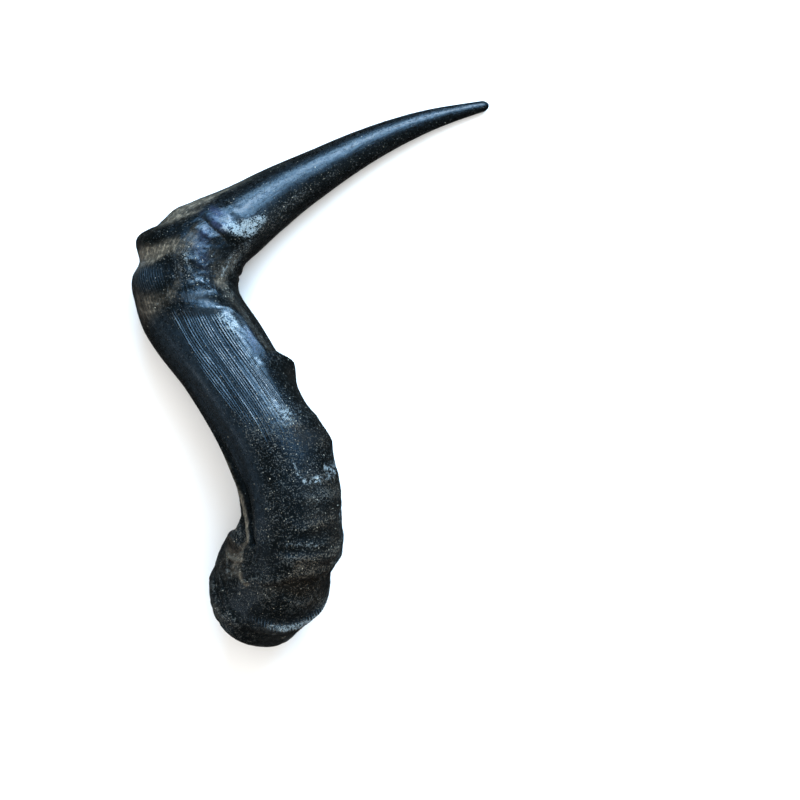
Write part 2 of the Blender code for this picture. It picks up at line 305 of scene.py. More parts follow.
# %% Folds of the base
FOLDS = {
    "base_fold_1": (1.6, [(84, 96, 0.0), (80, 82, 0.9), (80, 60, 1.3), (82, 36, 1.4), (86, 14, 1.1),
                          (90, -10, 0.0)]),
    "base_fold_2": (1.8, [(66, 108, 0.0), (64, 92, 1.0), (65, 70, 0.9), (64, 48, 1.2), (66, 24, 1.2),
                          (70, 0, 0.0)]),
    "base_fold_3": (1.7, [(44, 92, 0.0), (42, 76, 0.9), (41, 56, 1.0), (42, 38, 1.0), (46, 16, 0.0)]),
    "base_fold_4": (1.7, [(16, 150, 0.0), (18, 128, 1.0), (15, 108, 0.9), (12, 88, 0.8), (14, 66, 0.0)]),
    "base_fold_5": (2.0, [(30, 172, 0.0), (32, 158, 1.1), (29, 142, 1.1), (26, 128, 0.0)]),
    "flange_crease_1": (1.5, [(63, 150, 0.0), (53, 154, -1.2), (43, 160, -1.2), (34, 168, 0.0)]),
    "flange_crease_2": (1.6, [(52, 139, 0.0), (45, 147, 1.2), (37, 156, 1.1), (28, 168, 0.0)]),
    "flange_crease_3": (1.4, [(40, 134, 0.0), (33, 140, -0.9), (24, 150, -0.9), (16, 160, 0.0)]),
    "shaft_fold_1": (2.2, [(96, 88, 0.0), (94, 66, 0.8), (95, 44, 0.9), (94, 18, 0.8), (96, -6, 0.0)]),
    "shaft_fold_2": (2.4, [(138, 80, 0.0), (136, 60, 0.8), (135, 40, 1.0), (138, 16, 0.8), (140, -8, 0.0)]),
    "speck_fold": (1.3, [(72, 30, 0.0), (71, 51, 0.8), (72, 78, 0.7), (71, 95, 0.7), (66, 112, 0.0)]),
    "rim_crest": (2.6, [(36, -10, 0.0), (34, 14, 1.4), (31, 28, 1.8), (27, 38, 2.0), (25, 52, 1.9),
                        (24, 67, 1.5), (23, 80, 0.6), (18, 92, 0.0)]),
}
height = height + raised(FOLDS)
print("with the folds from", height.min().round(1), "to", height.max().round(1), "mm")

# %% [markdown]
# Along the keel runs a groove with a thin lip, as if the sheath had been rolled over there. It deepens
# towards the base and ends in a pit.

# %% Groove along the keel
KEEL = {
    "keel_lip": (1.4, [(190, 169, 0.0), (150, 166, 0.9), (119, 166, 1.4), (101, 162, 1.7), (87, 159, 1.8),
                       (74, 152, 1.8), (64, 143, 0.9), (60, 140, 0.0)]),
    "keel_groove": (1.7, [(185, 164, 0.0), (146, 162, -1.2), (119, 160, -2.0), (101, 155, -2.4),
                          (87, 152, -2.6), (76, 145, -2.8), (67, 138, -1.9), (63, 137, 0.0)]),
    "keel_pit": (2.4, [(71, 141, 0.0), (67, 137, -2.4), (63, 138, 0.0)]),
    "keel_second_line": (1.2, [(124, 158, 0.0), (99, 153, -0.9), (86, 144, -1.1), (75, 138, -1.0),
                               (69, 135, 0.0)]),
}
height = height + raised(KEEL)
print("with the keel's groove from", height.min().round(1), "to", height.max().round(1), "mm")

# %% [markdown]
# At the root of the tip the last rings are only low slanted ridges with a fine groove between them. The knee
# has two soft folds across it and a crease beyond its middle knob. The rim of the cut has lost a few chips.

# %% Ridges at the tip's root, folds of the knee and chips
SMALL_FORMS = {
    "tip_ridge_1": (4.0, [(310, 128, 0.0), (312, 120, 1.0), (313, 104, 1.2), (314, 92, 1.2),
                          (316, 80, 1.0), (319, 66, 0.0)]),
    "tip_ridge_2": (5.0, [(327, 124, 0.0), (328, 116, 0.6), (329, 104, 0.8), (331, 92, 0.8), (333, 80, 0.7),
                          (336, 70, 0.0)]),
    "tip_ridge_3": (3.0, [(301, 116, 0.0), (302, 106, 0.8), (303, 94, 0.9), (304, 82, 0.7), (305, 72, 0.0)]),
    "tip_root_swell": (9.0, [(312, 56, 0.4), (322, 60, 2.2), (336, 58, 1.6), (352, 56, 0.0)]),
    "tip_groove_end": (3.5, [(307, 128, 0.0), (309, 110, 0.8), (311, 90, 0.8), (312, 68, 0.7),
                             (312, 48, 0.0)]),
    "tip_groove_line": (1.1, [(308, 118, 0.0), (309, 106, -0.6), (309, 93, -0.7), (311, 78, -0.6),
                              (311, 64, -0.4), (312, 56, 0.0)]),
    "tip_scratch": (0.8, [(313, 66, 0.0), (315, 62, -0.5), (317, 56, 0.0)]),
    "knee_fold_1": (2.6, [(280, 102, 0.0), (280, 93, 0.5), (281, 82, 0.6), (278, 71, 0.5), (275, 60, 0.0)]),
    "knee_fold_2": (3.0, [(258, 92, 0.0), (260, 84, 0.4), (263, 72, 0.6), (256, 60, 0.6), (249, 50, 0.5),
                          (242, 44, 0.0)]),
    "knob_crease": (1.6, [(290, 196, 0.0), (293, 170, -0.8), (296, 148, -1.0), (301, 138, -0.8),
                          (308, 130, -0.5), (312, 124, 0.0)]),
    "rim_chip_1": (1.6, [(0, 108, -0.7), (3, 106, 0.0)]),
    "rim_chip_2": (2.4, [(0, 158, -0.8), (5, 158, 0.0)]),
    "rim_chip_3": (1.4, [(0, 92, -0.7), (2, 92, 0.0)]),
    "rim_chip_4": (1.8, [(0, 243, -0.8), (4, 244, 0.0)]),
}
height = height + raised(SMALL_FORMS)
print("with the small forms from", height.min().round(1), "to", height.max().round(1), "mm")

# %% [markdown]
# Two helpers are needed from here on: a soft step that fades things in and out, and a random field whose
# lumps have a chosen size along and round the horn. Blender's own fractal noise gives the same values each
# time for the same points, so the horn comes out the same every run.

# %% Soft steps and random fields
def smooth_step(low_end, high_end, value):
    """0 below low_end, 1 above high_end, and a smooth rise between. The ends may be given the other way."""
    share = np.clip((value - low_end) / (high_end - low_end), 0, 1)
    return share * share * (3 - 2 * share)


def noise_field(size_along, size_round, seed, octaves=3):
    """Soft random values from about -1 to 1, in lumps of the given sizes in mm along and round the horn."""
    turn = np.radians(around)
    x = RELIEF_RADIUS * np.cos(turn) / size_round
    y = RELIEF_RADIUS * np.sin(turn) / size_round
    z = along / size_along + seed
    points = zip(x.ravel(), y.ravel(), z.ravel())
    values = [noise.fractal(Vector(point), 1.0, 2.0, octaves) for point in points]
    return np.array(values).reshape(along.shape)


# %% [markdown]
# The hollow face of the shaft is ribbed: about twenty fine ribs run down it, side by side. Each rib is a
# bell-shaped ridge, so the ribs are made from one number that grows by one from rib to rib. The mesh takes
# the ribs' height from it, and it is also stored on the mesh, where the material sharpens them and paints a
# highlight on their crests and shade in their grooves.

# %% The ribbed face
RIBS = 22
FACE_LEFT, FACE_RIGHT = 115.0, 52.0  # degrees round the horn where the ribs begin and end
RIB_WIDTH, RIB_HEIGHT = 0.22, 0.42  # half width as a share of the spacing, and mm
RIB_WAVER = 3.0  # degrees that the ribs wander to each side
RAGGED_TOP, RAGGED_END = 3.0, 18.0  # mm by which the ribs differ at their upper and lower ends
STRONG_AT, STRONG_WIDTH = 110.0, 4.0  # degrees round the horn where the strongest ribs run
# Where the ribs begin below the ring, and where they fade out, as degrees and mm from the cut base.
RIB_TOPS = [(50, 174), (54, 196), (58, 217), (62, 226), (66, 230), (76, 234), (85, 237), (91, 240),
            (97, 243), (110, 245), (118, 242)]
RIB_ENDS = [(50, 145), (66, 138), (80, 135), (92, 137), (104, 143), (110, 150), (116, 164)]

turned = (around + 180) % 360 - 180
waver = noise_field(70, 14, 3.0, 2)
rib_number = (FACE_LEFT - turned + RIB_WAVER * waver) / (FACE_LEFT - FACE_RIGHT) * (RIBS - 1)
ragged = noise_field(30, 2.4, 11.0, 2)
rib_top = np.interp(turned, *zip(*RIB_TOPS))
rib_end = np.interp(turned, *zip(*RIB_ENDS))
rib_strength = smooth_step(rib_end - 8, rib_end + 16, along + RAGGED_END * ragged)
rib_strength *= smooth_step(rib_top + 2, rib_top - 5, along + RAGGED_TOP * ragged)
rib_strength *= smooth_step(FACE_LEFT + 2, FACE_LEFT - 1, turned)
rib_strength *= smooth_step(FACE_RIGHT - 3, FACE_RIGHT + 6, turned)
strongest = np.exp(-(((turned - STRONG_AT) / STRONG_WIDTH) ** 2))
unequal = 0.62 + 1.5 * noise_field(60, 1.7, 17.0, 2) + 0.5 * strongest
rib_strength *= np.clip(unequal, 0.12, 1.25)
from_rib = rib_number - np.round(rib_number)
height = height + RIB_HEIGHT * rib_strength * np.exp(-((from_rib / RIB_WIDTH) ** 2))
rib_spacing = math.radians(FACE_LEFT - FACE_RIGHT) / (RIBS - 1) * RELIEF_RADIUS
print("ribs", round(rib_spacing, 2), "mm apart")

# %% [markdown]
# The ring at the rim carries short ribs side by side, like the milled edge of a coin, where the keratin's
# fibres end in it. The knobs have slanted lines for the same reason. Both are stripes of one number again.

# %% Serrated ring and lined knobs
SERRATION_SPACING, SERRATION_HEIGHT = 2.3, 0.45  # mm
SERRATION_SLANT, SERRATION_WAVER = 0.95, 0.8  # mm sideways for each mm along, and mm of wandering
KNOB_LINE_SPACING, KNOB_LINE_HEIGHT = 2.0, 0.20  # mm
KNOB_LINE_SLANT, KNOB_LINE_WAVER = 0.35, 0.6

arc = np.radians(turned) * RELIEF_RADIUS
serrated = along_path(1.9, [(37, -4, 0.6), (35, 14, 1.1), (32, 28, 1.2), (28, 38, 1.2), (26, 52, 1.1),
                            (25, 67, 0.7), (24, 78, 0.3), (18, 92, 0.0)])
serration = (arc - SERRATION_SLANT * along + SERRATION_WAVER * waver) / SERRATION_SPACING
height = height + SERRATION_HEIGHT * serrated * (0.5 + 0.5 * np.cos(2 * math.pi * serration))
lined_knob = along_path(6.0, [(272, 178, 0.8), (271, 160, 1.0), (269, 140, 1.0), (267, 124, 0.6),
                              (262, 112, 0.0)])
knob_line = (arc - KNOB_LINE_SLANT * along + KNOB_LINE_WAVER * waver) / KNOB_LINE_SPACING
height = height + KNOB_LINE_HEIGHT * lined_knob * (0.5 + 0.5 * np.cos(2 * math.pi * knob_line))
line_number = np.where(lined_knob > 0.01, knob_line, np.where(serrated > 0.01, serration, rib_number))
print("the ring's short ribs", SERRATION_SPACING, "mm apart, the knobs' lines", KNOB_LINE_SPACING, "mm")

# %% [markdown]
# No stretch of a real horn is smooth between its marks. The base is wrinkled across by many small stops in
# its growth and lumpy, the shaft has fine fibres along it, and only the tip is worn nearly smooth. Random
# fields give these, each weighted by how far along the horn it belongs. A band down the left side of the
# shaft is calmer than the rest.

# %% Wrinkles, lumps and fibres
SETTLING = 0.22  # mm, so that the highest lumps of the finish end where the solid ends
on_base = smooth_step(150, 60, along)
on_knee = smooth_step(236, 256, along) * smooth_step(330, 305, along)
on_tip = smooth_step(300, 360, along)
on_left_band = smooth_step(116, 124, turned) * smooth_step(172, 164, turned) * smooth_step(70, 90, along)
on_left_band *= smooth_step(250, 235, along)
wrinkles = 1 - np.abs(noise_field(5.5, 34, 21.0, 3)) * 2
lumps = noise_field(8, 8, 31.0, 3)
dimples = noise_field(3.2, 3.2, 35.0, 2)
broad = noise_field(34, 26, 41.0, 2)
fibres = noise_field(30, 1.6, 51.0, 2)
calm = 1 - 0.8 * on_left_band
patchy_wrinkles = wrinkles * (0.4 + 0.6 * smooth_step(-0.3, 0.5, broad))
# Each field's height in mm everywhere, and what the base, the knee and the tip add to it.
FINE_RELIEF = [
    (patchy_wrinkles, 0.0, 0.30, 0.0, 0.0),
    (lumps, 0.10, 0.26, 0.20, 0.0),
    (dimples, 0.03, 0.12, 0.14, 0.0),
    (fibres, 0.05, 0.0, 0.0, -0.03),
]
for field, everywhere, base_share, knee_share, tip_share in FINE_RELIEF:
    amount = everywhere + base_share * on_base + knee_share * on_knee + tip_share * on_tip
    height = height + field * calm * amount
height = height + broad * (0.35 - 0.25 * on_tip) - SETTLING
print("finished relief from", height.min().round(1), "to", height.max().round(1), "mm")

# %% [markdown]
# Now the rings become points. Each ring faces the way the line runs over a stretch around it, which fans the
# rings out evenly at the knee, so that they don't cross on its inner side.

# %% From heights to points
SLIM_RADIUS = 16.0  # mm; where the horn is slimmer than this, the relief shrinks with it


def directions(at):
    """Which way the ring at each distance faces, with the sideways and upward directions square to that."""
    forward = growth_line(np.minimum(at + TURNING_SPAN, horn_length))[:, :3]
    forward -= growth_line(np.maximum(at - TURNING_SPAN, 0.0))[:, :3]
    forward /= np.linalg.norm(forward, axis=1)[:, None]
    side = np.cross(forward, (0.0, 0.0, 1.0))
    side /= np.linalg.norm(side, axis=1)[:, None]
    return forward, side, np.cross(side, forward)


def section_radius(quarters, turn):
    """Radius of the plain section at an angle, from its reach to the right, top, left and bottom."""
    right, top, left, bottom = quarters
    across = np.where(np.cos(turn) >= 0, right, left)
    upright = np.where(np.sin(turn) >= 0, top, bottom)
    return 1 / np.hypot(np.cos(turn) / across, np.sin(turn) / upright)


values = growth_line(distance)
forward, side, up = directions(distance)
turn = np.radians(angle)
plain_radius = section_radius([values[:, 3 + q, None] for q in range(4)], turn[None, :])
thinness = np.clip(plain_radius / SLIM_RADIUS, 0, 1)
radius = plain_radius + height * thinness
from_end = np.clip((horn_length - distance) / TIP_ROUNDING, 0, 1)
radius *= np.sqrt(from_end * (2 - from_end))[:, None]
on_rim = np.clip(1 - distance / RIM_ROUNDING, 0, 1)
radius -= RIM_ROUNDING * (1 - np.sqrt(1 - on_rim**2))[:, None]
outward = np.cos(turn)[None, :, None] * side[:, None] + np.sin(turn)[None, :, None] * up[:, None]
skin = values[:, None, :3] + radius[:, :, None] * outward + to_frame
skin = np.clip(skin, np.array(low) / MM, np.array(high) / MM)
print("skin from", skin.min((0, 1)).round(1), "to", skin.max((0, 1)).round(1), "mm")

# %% [markdown]
# The base was sawn off. The saw went through the dark sheath, a thin gap and the bony core, which is dense at
# its edge and spongy towards its middle. All of it lies behind the flat of the cut, so that the rim still
# rests against a plaque: the sheath by a tenth of a millimetre, the pores by a millimetre or two.

# %% The cut base
# Shares of the radius at which the rings of points lie, closest together round the gap.
CUT_RINGS = (0.985, 0.95, 0.915, 0.89, 0.872, 0.858, 0.842, 0.822, 0.79, 0.74, 0.67, 0.58, 0.47, 0.33, 0.17)
SHEATH_EDGE, GAP_WIDTH = 0.865, 0.012  # shares of the radius: where the sheath ends, and the gap's half width
# Depths behind the flat in mm: of everything, and more in the gap, the core, the pores and the saw's marks.
SHEATH_DEPTH, GAP_DEPTH, CORE_DEPTH, PORE_DEPTH, SAW_DEPTH = 0.05, 0.7, 0.25, 1.3, 0.06
SAW_SPACING = 1.9  # mm
cut_share = np.array(CUT_RINGS)[:, None] * np.ones(len(angle))[None, :]
cut_centre = line_rows[0, :3] + to_frame
flat_cut = cut_centre + cut_share[:, :, None] * (skin[0] - cut_centre)[None]


def noise_at(points, size, seed, octaves=3):
    """Soft random values at points given in mm, in lumps of one size."""
    flat = points.reshape(-1, 3) / size + seed
    return np.array([noise.fractal(Vector(p), 1.0, 2.0, octaves) for p in flat]).reshape(points.shape[:-1])


gap_at = SHEATH_EDGE + 0.02 * noise_at(flat_cut, 12.0, 61.0, 2)
in_gap = np.exp(-(((cut_share - gap_at) / GAP_WIDTH) ** 2))
in_core = smooth_step(0.0, 0.03, gap_at - cut_share)
sponge = np.clip(noise_at(flat_cut, 3.2, 71.0) + 0.15, 0, 1) * smooth_step(0.75, 0.3, cut_share)
saw_phase = flat_cut[..., 1] * 2 * math.pi / SAW_SPACING + 1.5 * noise_at(flat_cut, 9.0, 81.0, 1)
saw = 0.5 + 0.5 * np.sin(saw_phase)
depth = SHEATH_DEPTH + GAP_DEPTH * in_gap + CORE_DEPTH * in_core + PORE_DEPTH * sponge + SAW_DEPTH * saw
cut_points = flat_cut + depth[..., None] * forward[0]
print("cut base", round(2 * np.linalg.norm(skin[0] - cut_centre, axis=1).mean(), 1), "mm across and up to",
      depth.max().round(1), "mm deep")

# %% [markdown]
# The mesh is one closed skin: four-sided faces between neighbouring rings, the rings of the cut, and a fan of
# triangles at the middle of the cut and at the tip.

# %% The mesh
def band(first, second, count):
    """Faces between two rings of points that start at these numbers."""
    here = np.arange(count)
    following = (here + 1) % count
    return np.stack([first + here, second + here, second + following, first + following], axis=1)


count = len(angle)
ring_total, cut_total = len(distance), len(CUT_RINGS)
points = np.concatenate([skin.reshape(-1, 3), cut_points.reshape(-1, 3)])
cut_start = ring_total * count
quads = [band(ring * count, (ring + 1) * count, count) for ring in range(ring_total - 1)]
cut_rings = [0] + [cut_start + ring * count for ring in range(cut_total)]
quads += [band(inner, outer, count) for outer, inner in zip(cut_rings, cut_rings[1:])]
middle, tip = len(points), len(points) + 1
middle_point = cut_centre + depth[-1].mean() * forward[0]
tip_point = values[-1, :3] + to_frame + (horn_length - distance[-1]) * forward[-1]
points = np.concatenate([points, [middle_point, tip_point]])
here = np.arange(count)
following = (here + 1) % count
fans = [(cut_rings[-1] + a, cut_rings[-1] + b, middle) for a, b in zip(here, following)]
last = (ring_total - 1) * count
fans += [(last + b, last + a, tip) for a, b in zip(here, following)]

mesh = bpy.data.meshes.new("red_horn")
faces = [tuple(face) for quad in quads for face in quad.tolist()]
faces += [tuple(int(point) for point in fan) for fan in fans]
mesh.from_pydata((points * MM).tolist(), [], faces)
mesh.validate()
mesh.shade_smooth()
horn = bpy.data.objects.new("hartebeest_horn", mesh)
bpy.context.scene.collection.objects.link(horn)
triangles = sum(len(face) - 2 for face in faces)
print(triangles, "triangles")

# %% [markdown]
# The material has to know where on the horn it is. Painting that by hand in Texture Paint would need an
# image. Paths with strengths are sharper and stay editable, so each finish is a list of paths. Dust comes
# first: it lies in the valleys between the knobs, in the crook and along the keel's lip, with a thin film on
# the base. The horn's own brown shows in bands across the base, below the knee and on the tip's inner side.

# %% Dust and brown
# Each path has a half width in mm, then its points: mm from the cut base, degrees round, and a strength.
DUST_MARKS = [
    (9.0, [(299, 177, 1.1), (305, 172, 1.2), (310, 155, 1.2), (316, 147, 0.9)]),
    (6.0, [(295, 148, 0.8), (301, 138, 0.8), (309, 130, 0.5)]),
    (5.5, [(276, 200, 1.0), (277, 178, 1.2), (277, 154, 1.2), (280, 134, 1.1), (287, 116, 0.7)]),
    (3.5, [(314, 146, 0.7), (321, 151, 0.9), (330, 152, 0.9), (341, 153, 0.6), (362, 152, 0.2)]),
    (10.0, [(262, 155, 0.5), (255, 156, 0.6), (255, 138, 0.6), (254, 123, 0.4)]),
    (7.0, [(262, 42, 0.4), (240, 34, 0.45), (215, 31, 0.4), (190, 28, 0.4)]),
    (6.0, [(302, 106, 0.4), (293, 99, 0.6), (285, 106, 0.5)]),
    (5.0, [(274, 96, 0.3), (264, 98, 0.35), (257, 106, 0.4)]),
    (13.0, [(292, 92, 0.30), (298, 78, 0.30), (289, 56, 0.35), (262, 48, 0.20)]),
    (7.0, [(316, 44, 0.4), (310, 40, 0.6), (294, 33, 0.7), (277, 40, 0.6), (262, 44, 0.5)]),
    (7.0, [(34, 169, 0.6), (49, 149, 0.6), (38, 139, 0.5)]),
    (14.0, [(128, 52, 0.30), (100, 60, 0.30), (60, 60, 0.28), (40, 100, 0.26), (20, 140, 0.34)]),
    (2.0, [(41, 132, 0.6), (38, 124, 0.9), (39, 116, 0.7)]),
    (1.5, [(150, 167, 0.4), (119, 166, 0.6), (101, 162, 0.8), (87, 159, 1.0), (76, 153, 1.2),
           (67, 146, 1.0)]),
    (2.6, [(66, 150, 0.6), (58, 152, 0.6), (49, 147, 0.4)]),
    (1.4, [(52, 139, 0.5), (45, 147, 0.9), (37, 156, 0.8), (28, 168, 0.5)]),
    (5.0, [(6, 108, 0.4), (5, 97, 0.4)]),
]
BROWN_MARKS = [
    (11.0, [(49, 92, 0.4), (53, 70, 0.9), (52, 46, 1.0), (46, 34, 1.0), (48, 0, 0.8)]),
    (8.0, [(106, 52, 0.5), (100, 22, 0.8), (98, -10, 0.6)]),
    (8.0, [(84, 74, 0.3), (81, 56, 0.7), (84, 29, 0.9), (84, 0, 0.7)]),
    (7.0, [(62, 72, 0.4), (63, 46, 0.8), (70, 26, 0.9)]),
    (12.0, [(40, 172, 0.8), (52, 168, 0.9), (30, 160, 0.7), (14, 150, 0.5)]),
    # This thin brown line darkens the fine groove at the tip's root: painted shade.
    (1.3, [(309, 113, 0.5), (310, 102, 0.6), (309, 93, 0.5), (312, 82, 0.6), (313, 70, 0.5)]),
    (12.0, [(340, 46, 0.5), (380, 52, 0.4), (450, 60, 0.3)]),
    (8.0, [(168, 12, 0.7), (166, -10, 0.8)]),
    (4.0, [(252, 112, 0.7), (252, 92, 0.9), (247, 74, 0.8), (240, 60, 0.5)]),
    (9.0, [(138, 60, 0.5), (128, 56, 0.8), (126, 30, 0.8), (130, 4, 0.7)]),
]
print(len(DUST_MARKS), "paths of dust and", len(BROWN_MARKS), "of brown")

# %% [markdown]
# Where the horn is cleanest, a slate blue is painted over its black as a reflection of the cool light: along
# the tip, on the ribbed face, down the left side and on the low knob. On the knee and at the root of the tip
# this painted reflection turns to violet.

# %% Slate blue and violet, painted reflections
VIOLET_REFLECTION_MARKS = [
    (10.0, [(304, 94, 0.7), (294, 84, 0.7), (286, 66, 0.8), (276, 58, 0.5)]),
    (6.0, [(313, 126, 0.9), (316, 108, 1.2), (318, 94, 1.2), (319, 82, 0.6)]),
    (2.4, [(304, 106, 0.9), (305, 92, 0.9)]),
    (3.0, [(206, 46, 0.8), (196, 44, 0.8), (190, 46, 0.5)]),
]
BLUE_REFLECTION_MARKS = [
    (13.0, [(322, 92, 0.8), (345, 92, 1.0), (420, 97, 1.0), (530, 97, 1.0)]),
    (12.0, [(232, 70, 0.8), (214, 50, 1.0), (190, 58, 1.0)]),
    (20.0, [(226, 94, 0.8), (190, 92, 0.8), (150, 88, 0.6)]),
    (16.0, [(244, 138, 0.7), (190, 138, 1.0), (120, 138, 0.9), (80, 130, 0.6)]),
    (7.0, [(270, 152, 0.8), (270, 136, 0.9), (270, 122, 0.6)]),
    (9.0, [(300, 92, 0.7), (288, 78, 0.6), (262, 66, 0.6)]),
    (7.0, [(314, 124, 0.8), (318, 106, 1.0), (320, 90, 0.8)]),
    (9.0, [(30, 20, 0.6), (26, 45, 0.7), (24, 70, 0.5)]),
]
print(len(VIOLET_REFLECTION_MARKS), "paths of violet and", len(BLUE_REFLECTION_MARKS), "of blue")

# %% [markdown]
# Handling has polished what stands proud: the swell at the tip's root, the shoulder beside the ribs, the
# crests, and the ring at the rim.

# %% Polish
POLISH_MARKS = [
    (7.0, [(322, 84, 0.8), (326, 74, 1.0), (336, 71, 1.0), (343, 70, 0.6)]),
    (5.5, [(230, 58, 1.0), (219, 48, 1.0), (209, 52, 1.0)]),
    (3.6, [(206, 61, 0.8), (199, 59, 0.9), (191, 60, 0.9), (187, 58, 0.7)]),
    (3.0, [(183, 55, 1.0), (180, 48, 0.9)]),
    (2.4, [(244, 110, 0.5), (241, 88, 0.5), (234, 66, 0.3), (232, 52, 0.3)]),
    (5.0, [(283, 93, 0.3), (284, 82, 0.5), (281, 71, 0.5)]),
    (5.0, [(264, 84, 0.5), (267, 70, 0.6), (255, 61, 0.8), (252, 51, 0.7)]),
    (3.4, [(37, 12, 0.8), (34, 20, 1.0), (29, 36, 1.0), (28, 50, 1.0), (27, 66, 0.7)]),
    (3.0, [(316, 88, 0.3), (318, 78, 0.7)]),
    (3.0, [(325, 114, 0.3), (327, 96, 0.3), (330, 80, 0.6)]),
    (2.4, [(304, 108, 0.4), (305, 92, 0.5), (307, 80, 0.4)]),
    (7.0, [(160, 71, 0.5), (150, 70, 0.6), (145, 66, 0.4)]),
]
print(len(POLISH_MARKS), "paths of polish")

# %% [markdown]
# Grit lies all over the horn, and these paths add more of it: in the crook, at the inner side of the tip's
# root and on the rings. A negative strength clears it, as along the keel. Scuffs are pale and chalky, and
# sit in short dashes on the shaft. On the swell, the shoulder and the rim's ring the same pale marks are
# painted highlights.

# %% Grit, scuffs and painted highlights
GRIT_MARKS = [
    (10.0, [(322, 44, 0.9), (345, 54, 0.8), (390, 58, 0.6), (440, 62, 0.4)]),
    (7.0, [(317, 40, 0.9), (310, 36, 1.0), (294, 33, 1.0), (277, 40, 0.9), (258, 44, 0.5)]),
    (8.0, [(283, 96, 0.5), (272, 90, 0.6), (262, 84, 0.4)]),
    (6.0, [(325, 76, 0.4), (338, 66, 0.5)]),
    (4.0, [(310, 140, 0.3), (330, 146, 0.4), (380, 146, 0.3)]),
    (1.4, [(72, 30, 0.6), (71, 58, 0.7), (72, 80, 0.7), (71, 96, 0.5)]),
    (1.6, [(62, 7, 0.4), (58, 30, 0.5), (57, 60, 0.5), (52, 90, 0.4)]),
    # Cleared of grit, the keel's groove stays black: painted shade in the groove.
    (1.8, [(146, 168, -0.8), (119, 165, -1.3), (101, 159, -1.4), (87, 154, -1.5), (76, 147, -1.6),
           (67, 139, -1.5)]),
    (8.0, [(146, 30, 0.3), (140, 70, 0.4), (146, 100, 0.3)]),
    (8.0, [(50, 92, 0.2), (48, 60, 0.35), (46, 30, 0.4)]),
    (8.0, [(258, 38, 0.6), (235, 30, 0.6), (210, 30, 0.6), (186, 26, 0.6)]),
]
SCUFF_AND_HIGHLIGHT_MARKS = [
    (3.2, [(110, 2, 0.7), (109, 35, 0.7), (106, 18, 0.8), (104, 35, 0.6), (104, 50, 0.5)]),
    (1.8, [(104, 50, 0.7), (103, 67, 0.8), (106, 68, 0.8), (110, 75, 0.9), (116, 76, 0.6)]),
    (1.5, [(71, 96, 0.5), (72, 78, 0.6), (71, 58, 0.6)]),
    (2.0, [(87, 12, 0.6), (80, 15, 0.8)]),
    (3.5, [(286, 98, 0.5), (280, 92, 0.6), (274, 84, 0.4), (268, 88, 0.4)]),
    (6.0, [(330, 56, 0.45), (314, 46, 0.52), (300, 42, 0.5), (286, 42, 0.52), (272, 44, 0.5)]),
    # Painted highlight: the bright swell at the tip's root.
    (6.5, [(319, 86, 0.9), (325, 76, 1.6), (333, 71, 1.7), (342, 69, 0.9)]),
    # Painted highlight: the streak along the rim's ring.
    (1.7, [(33, 22, 0.8), (29, 36, 1.0), (27, 50, 1.0), (26, 66, 0.7)]),
    # Painted highlight: where the first ring's crest turns down.
    (2.6, [(184, 52, 0.9), (180, 56, 0.6)]),
    # Painted highlight: the hot spot on the shoulder.
    (5.5, [(226, 60, 0.8), (219, 57, 1.3), (213, 55, 0.9)]),
    # Painted highlight: the light patch inside the shoulder.
    (3.4, [(207, 61, 0.35), (199, 59, 0.45), (190, 60, 0.35)]),
    (4.0, [(277, 176, 0.4), (276, 150, 0.5)]),
    (6.0, [(136, 60, 0.4), (138, 88, 0.4), (144, 40, 0.4)]),
    # Painted highlight: mottles in the bright patch below the ribs.
    (6.0, [(163, 72, 0.4), (152, 68, 0.6), (145, 62, 0.5)]),
]
print(len(GRIT_MARKS), "paths of grit and", len(SCUFF_AND_HIGHLIGHT_MARKS), "of scuffs")

# %% [markdown]
# The paths become fields, one value for each point. Some also follow the form: on the knee dust settles where
# the surface lies lower than around it, on the base the grit is thinned in the folds' hollows, which paints
# shade into them, and thickened where the surface stands higher, and the ribs are polished. Blurring the
# heights and comparing them with the sharp ones tells high from low.

# %% Fields for the finish
BLUR_PASSES = 60
MARKS = {"dust": DUST_MARKS, "brown": BROWN_MARKS, "violet_reflection": VIOLET_REFLECTION_MARKS, "blue_reflection": BLUE_REFLECTION_MARKS,
         "polish": POLISH_MARKS, "grit": GRIT_MARKS, "scuff_and_highlight": SCUFF_AND_HIGHLIGHT_MARKS}
mark = {name: sum(along_path(*path) for path in paths) for name, paths in MARKS.items()}
blurred = height.copy()
for _ in range(BLUR_PASSES):
    blurred[1:-1] = (blurred[:-2] + 2 * blurred[1:-1] + blurred[2:]) / 4
    blurred = (np.roll(blurred, 1, 1) + 2 * blurred + np.roll(blurred, -1, 1)) / 4
sunk = smooth_step(0.05, 0.9, blurred - height)
proud = smooth_step(0.05, 0.7, height - blurred)
# The side turned to the floor is made browner, and gets more of the painted blue reflection.
hidden_side = np.clip(smooth_step(10, -20, turned) + smooth_step(170, 190, around), 0, 1)
grit = 0.50 + 0.40 * smooth_step(175, 120, along) - 0.10 * smooth_step(350, 430, along)
grit = (grit + 0.8 * mark["grit"]) * (1 - 0.6 * on_left_band) * (1 + 0.3 * broad)
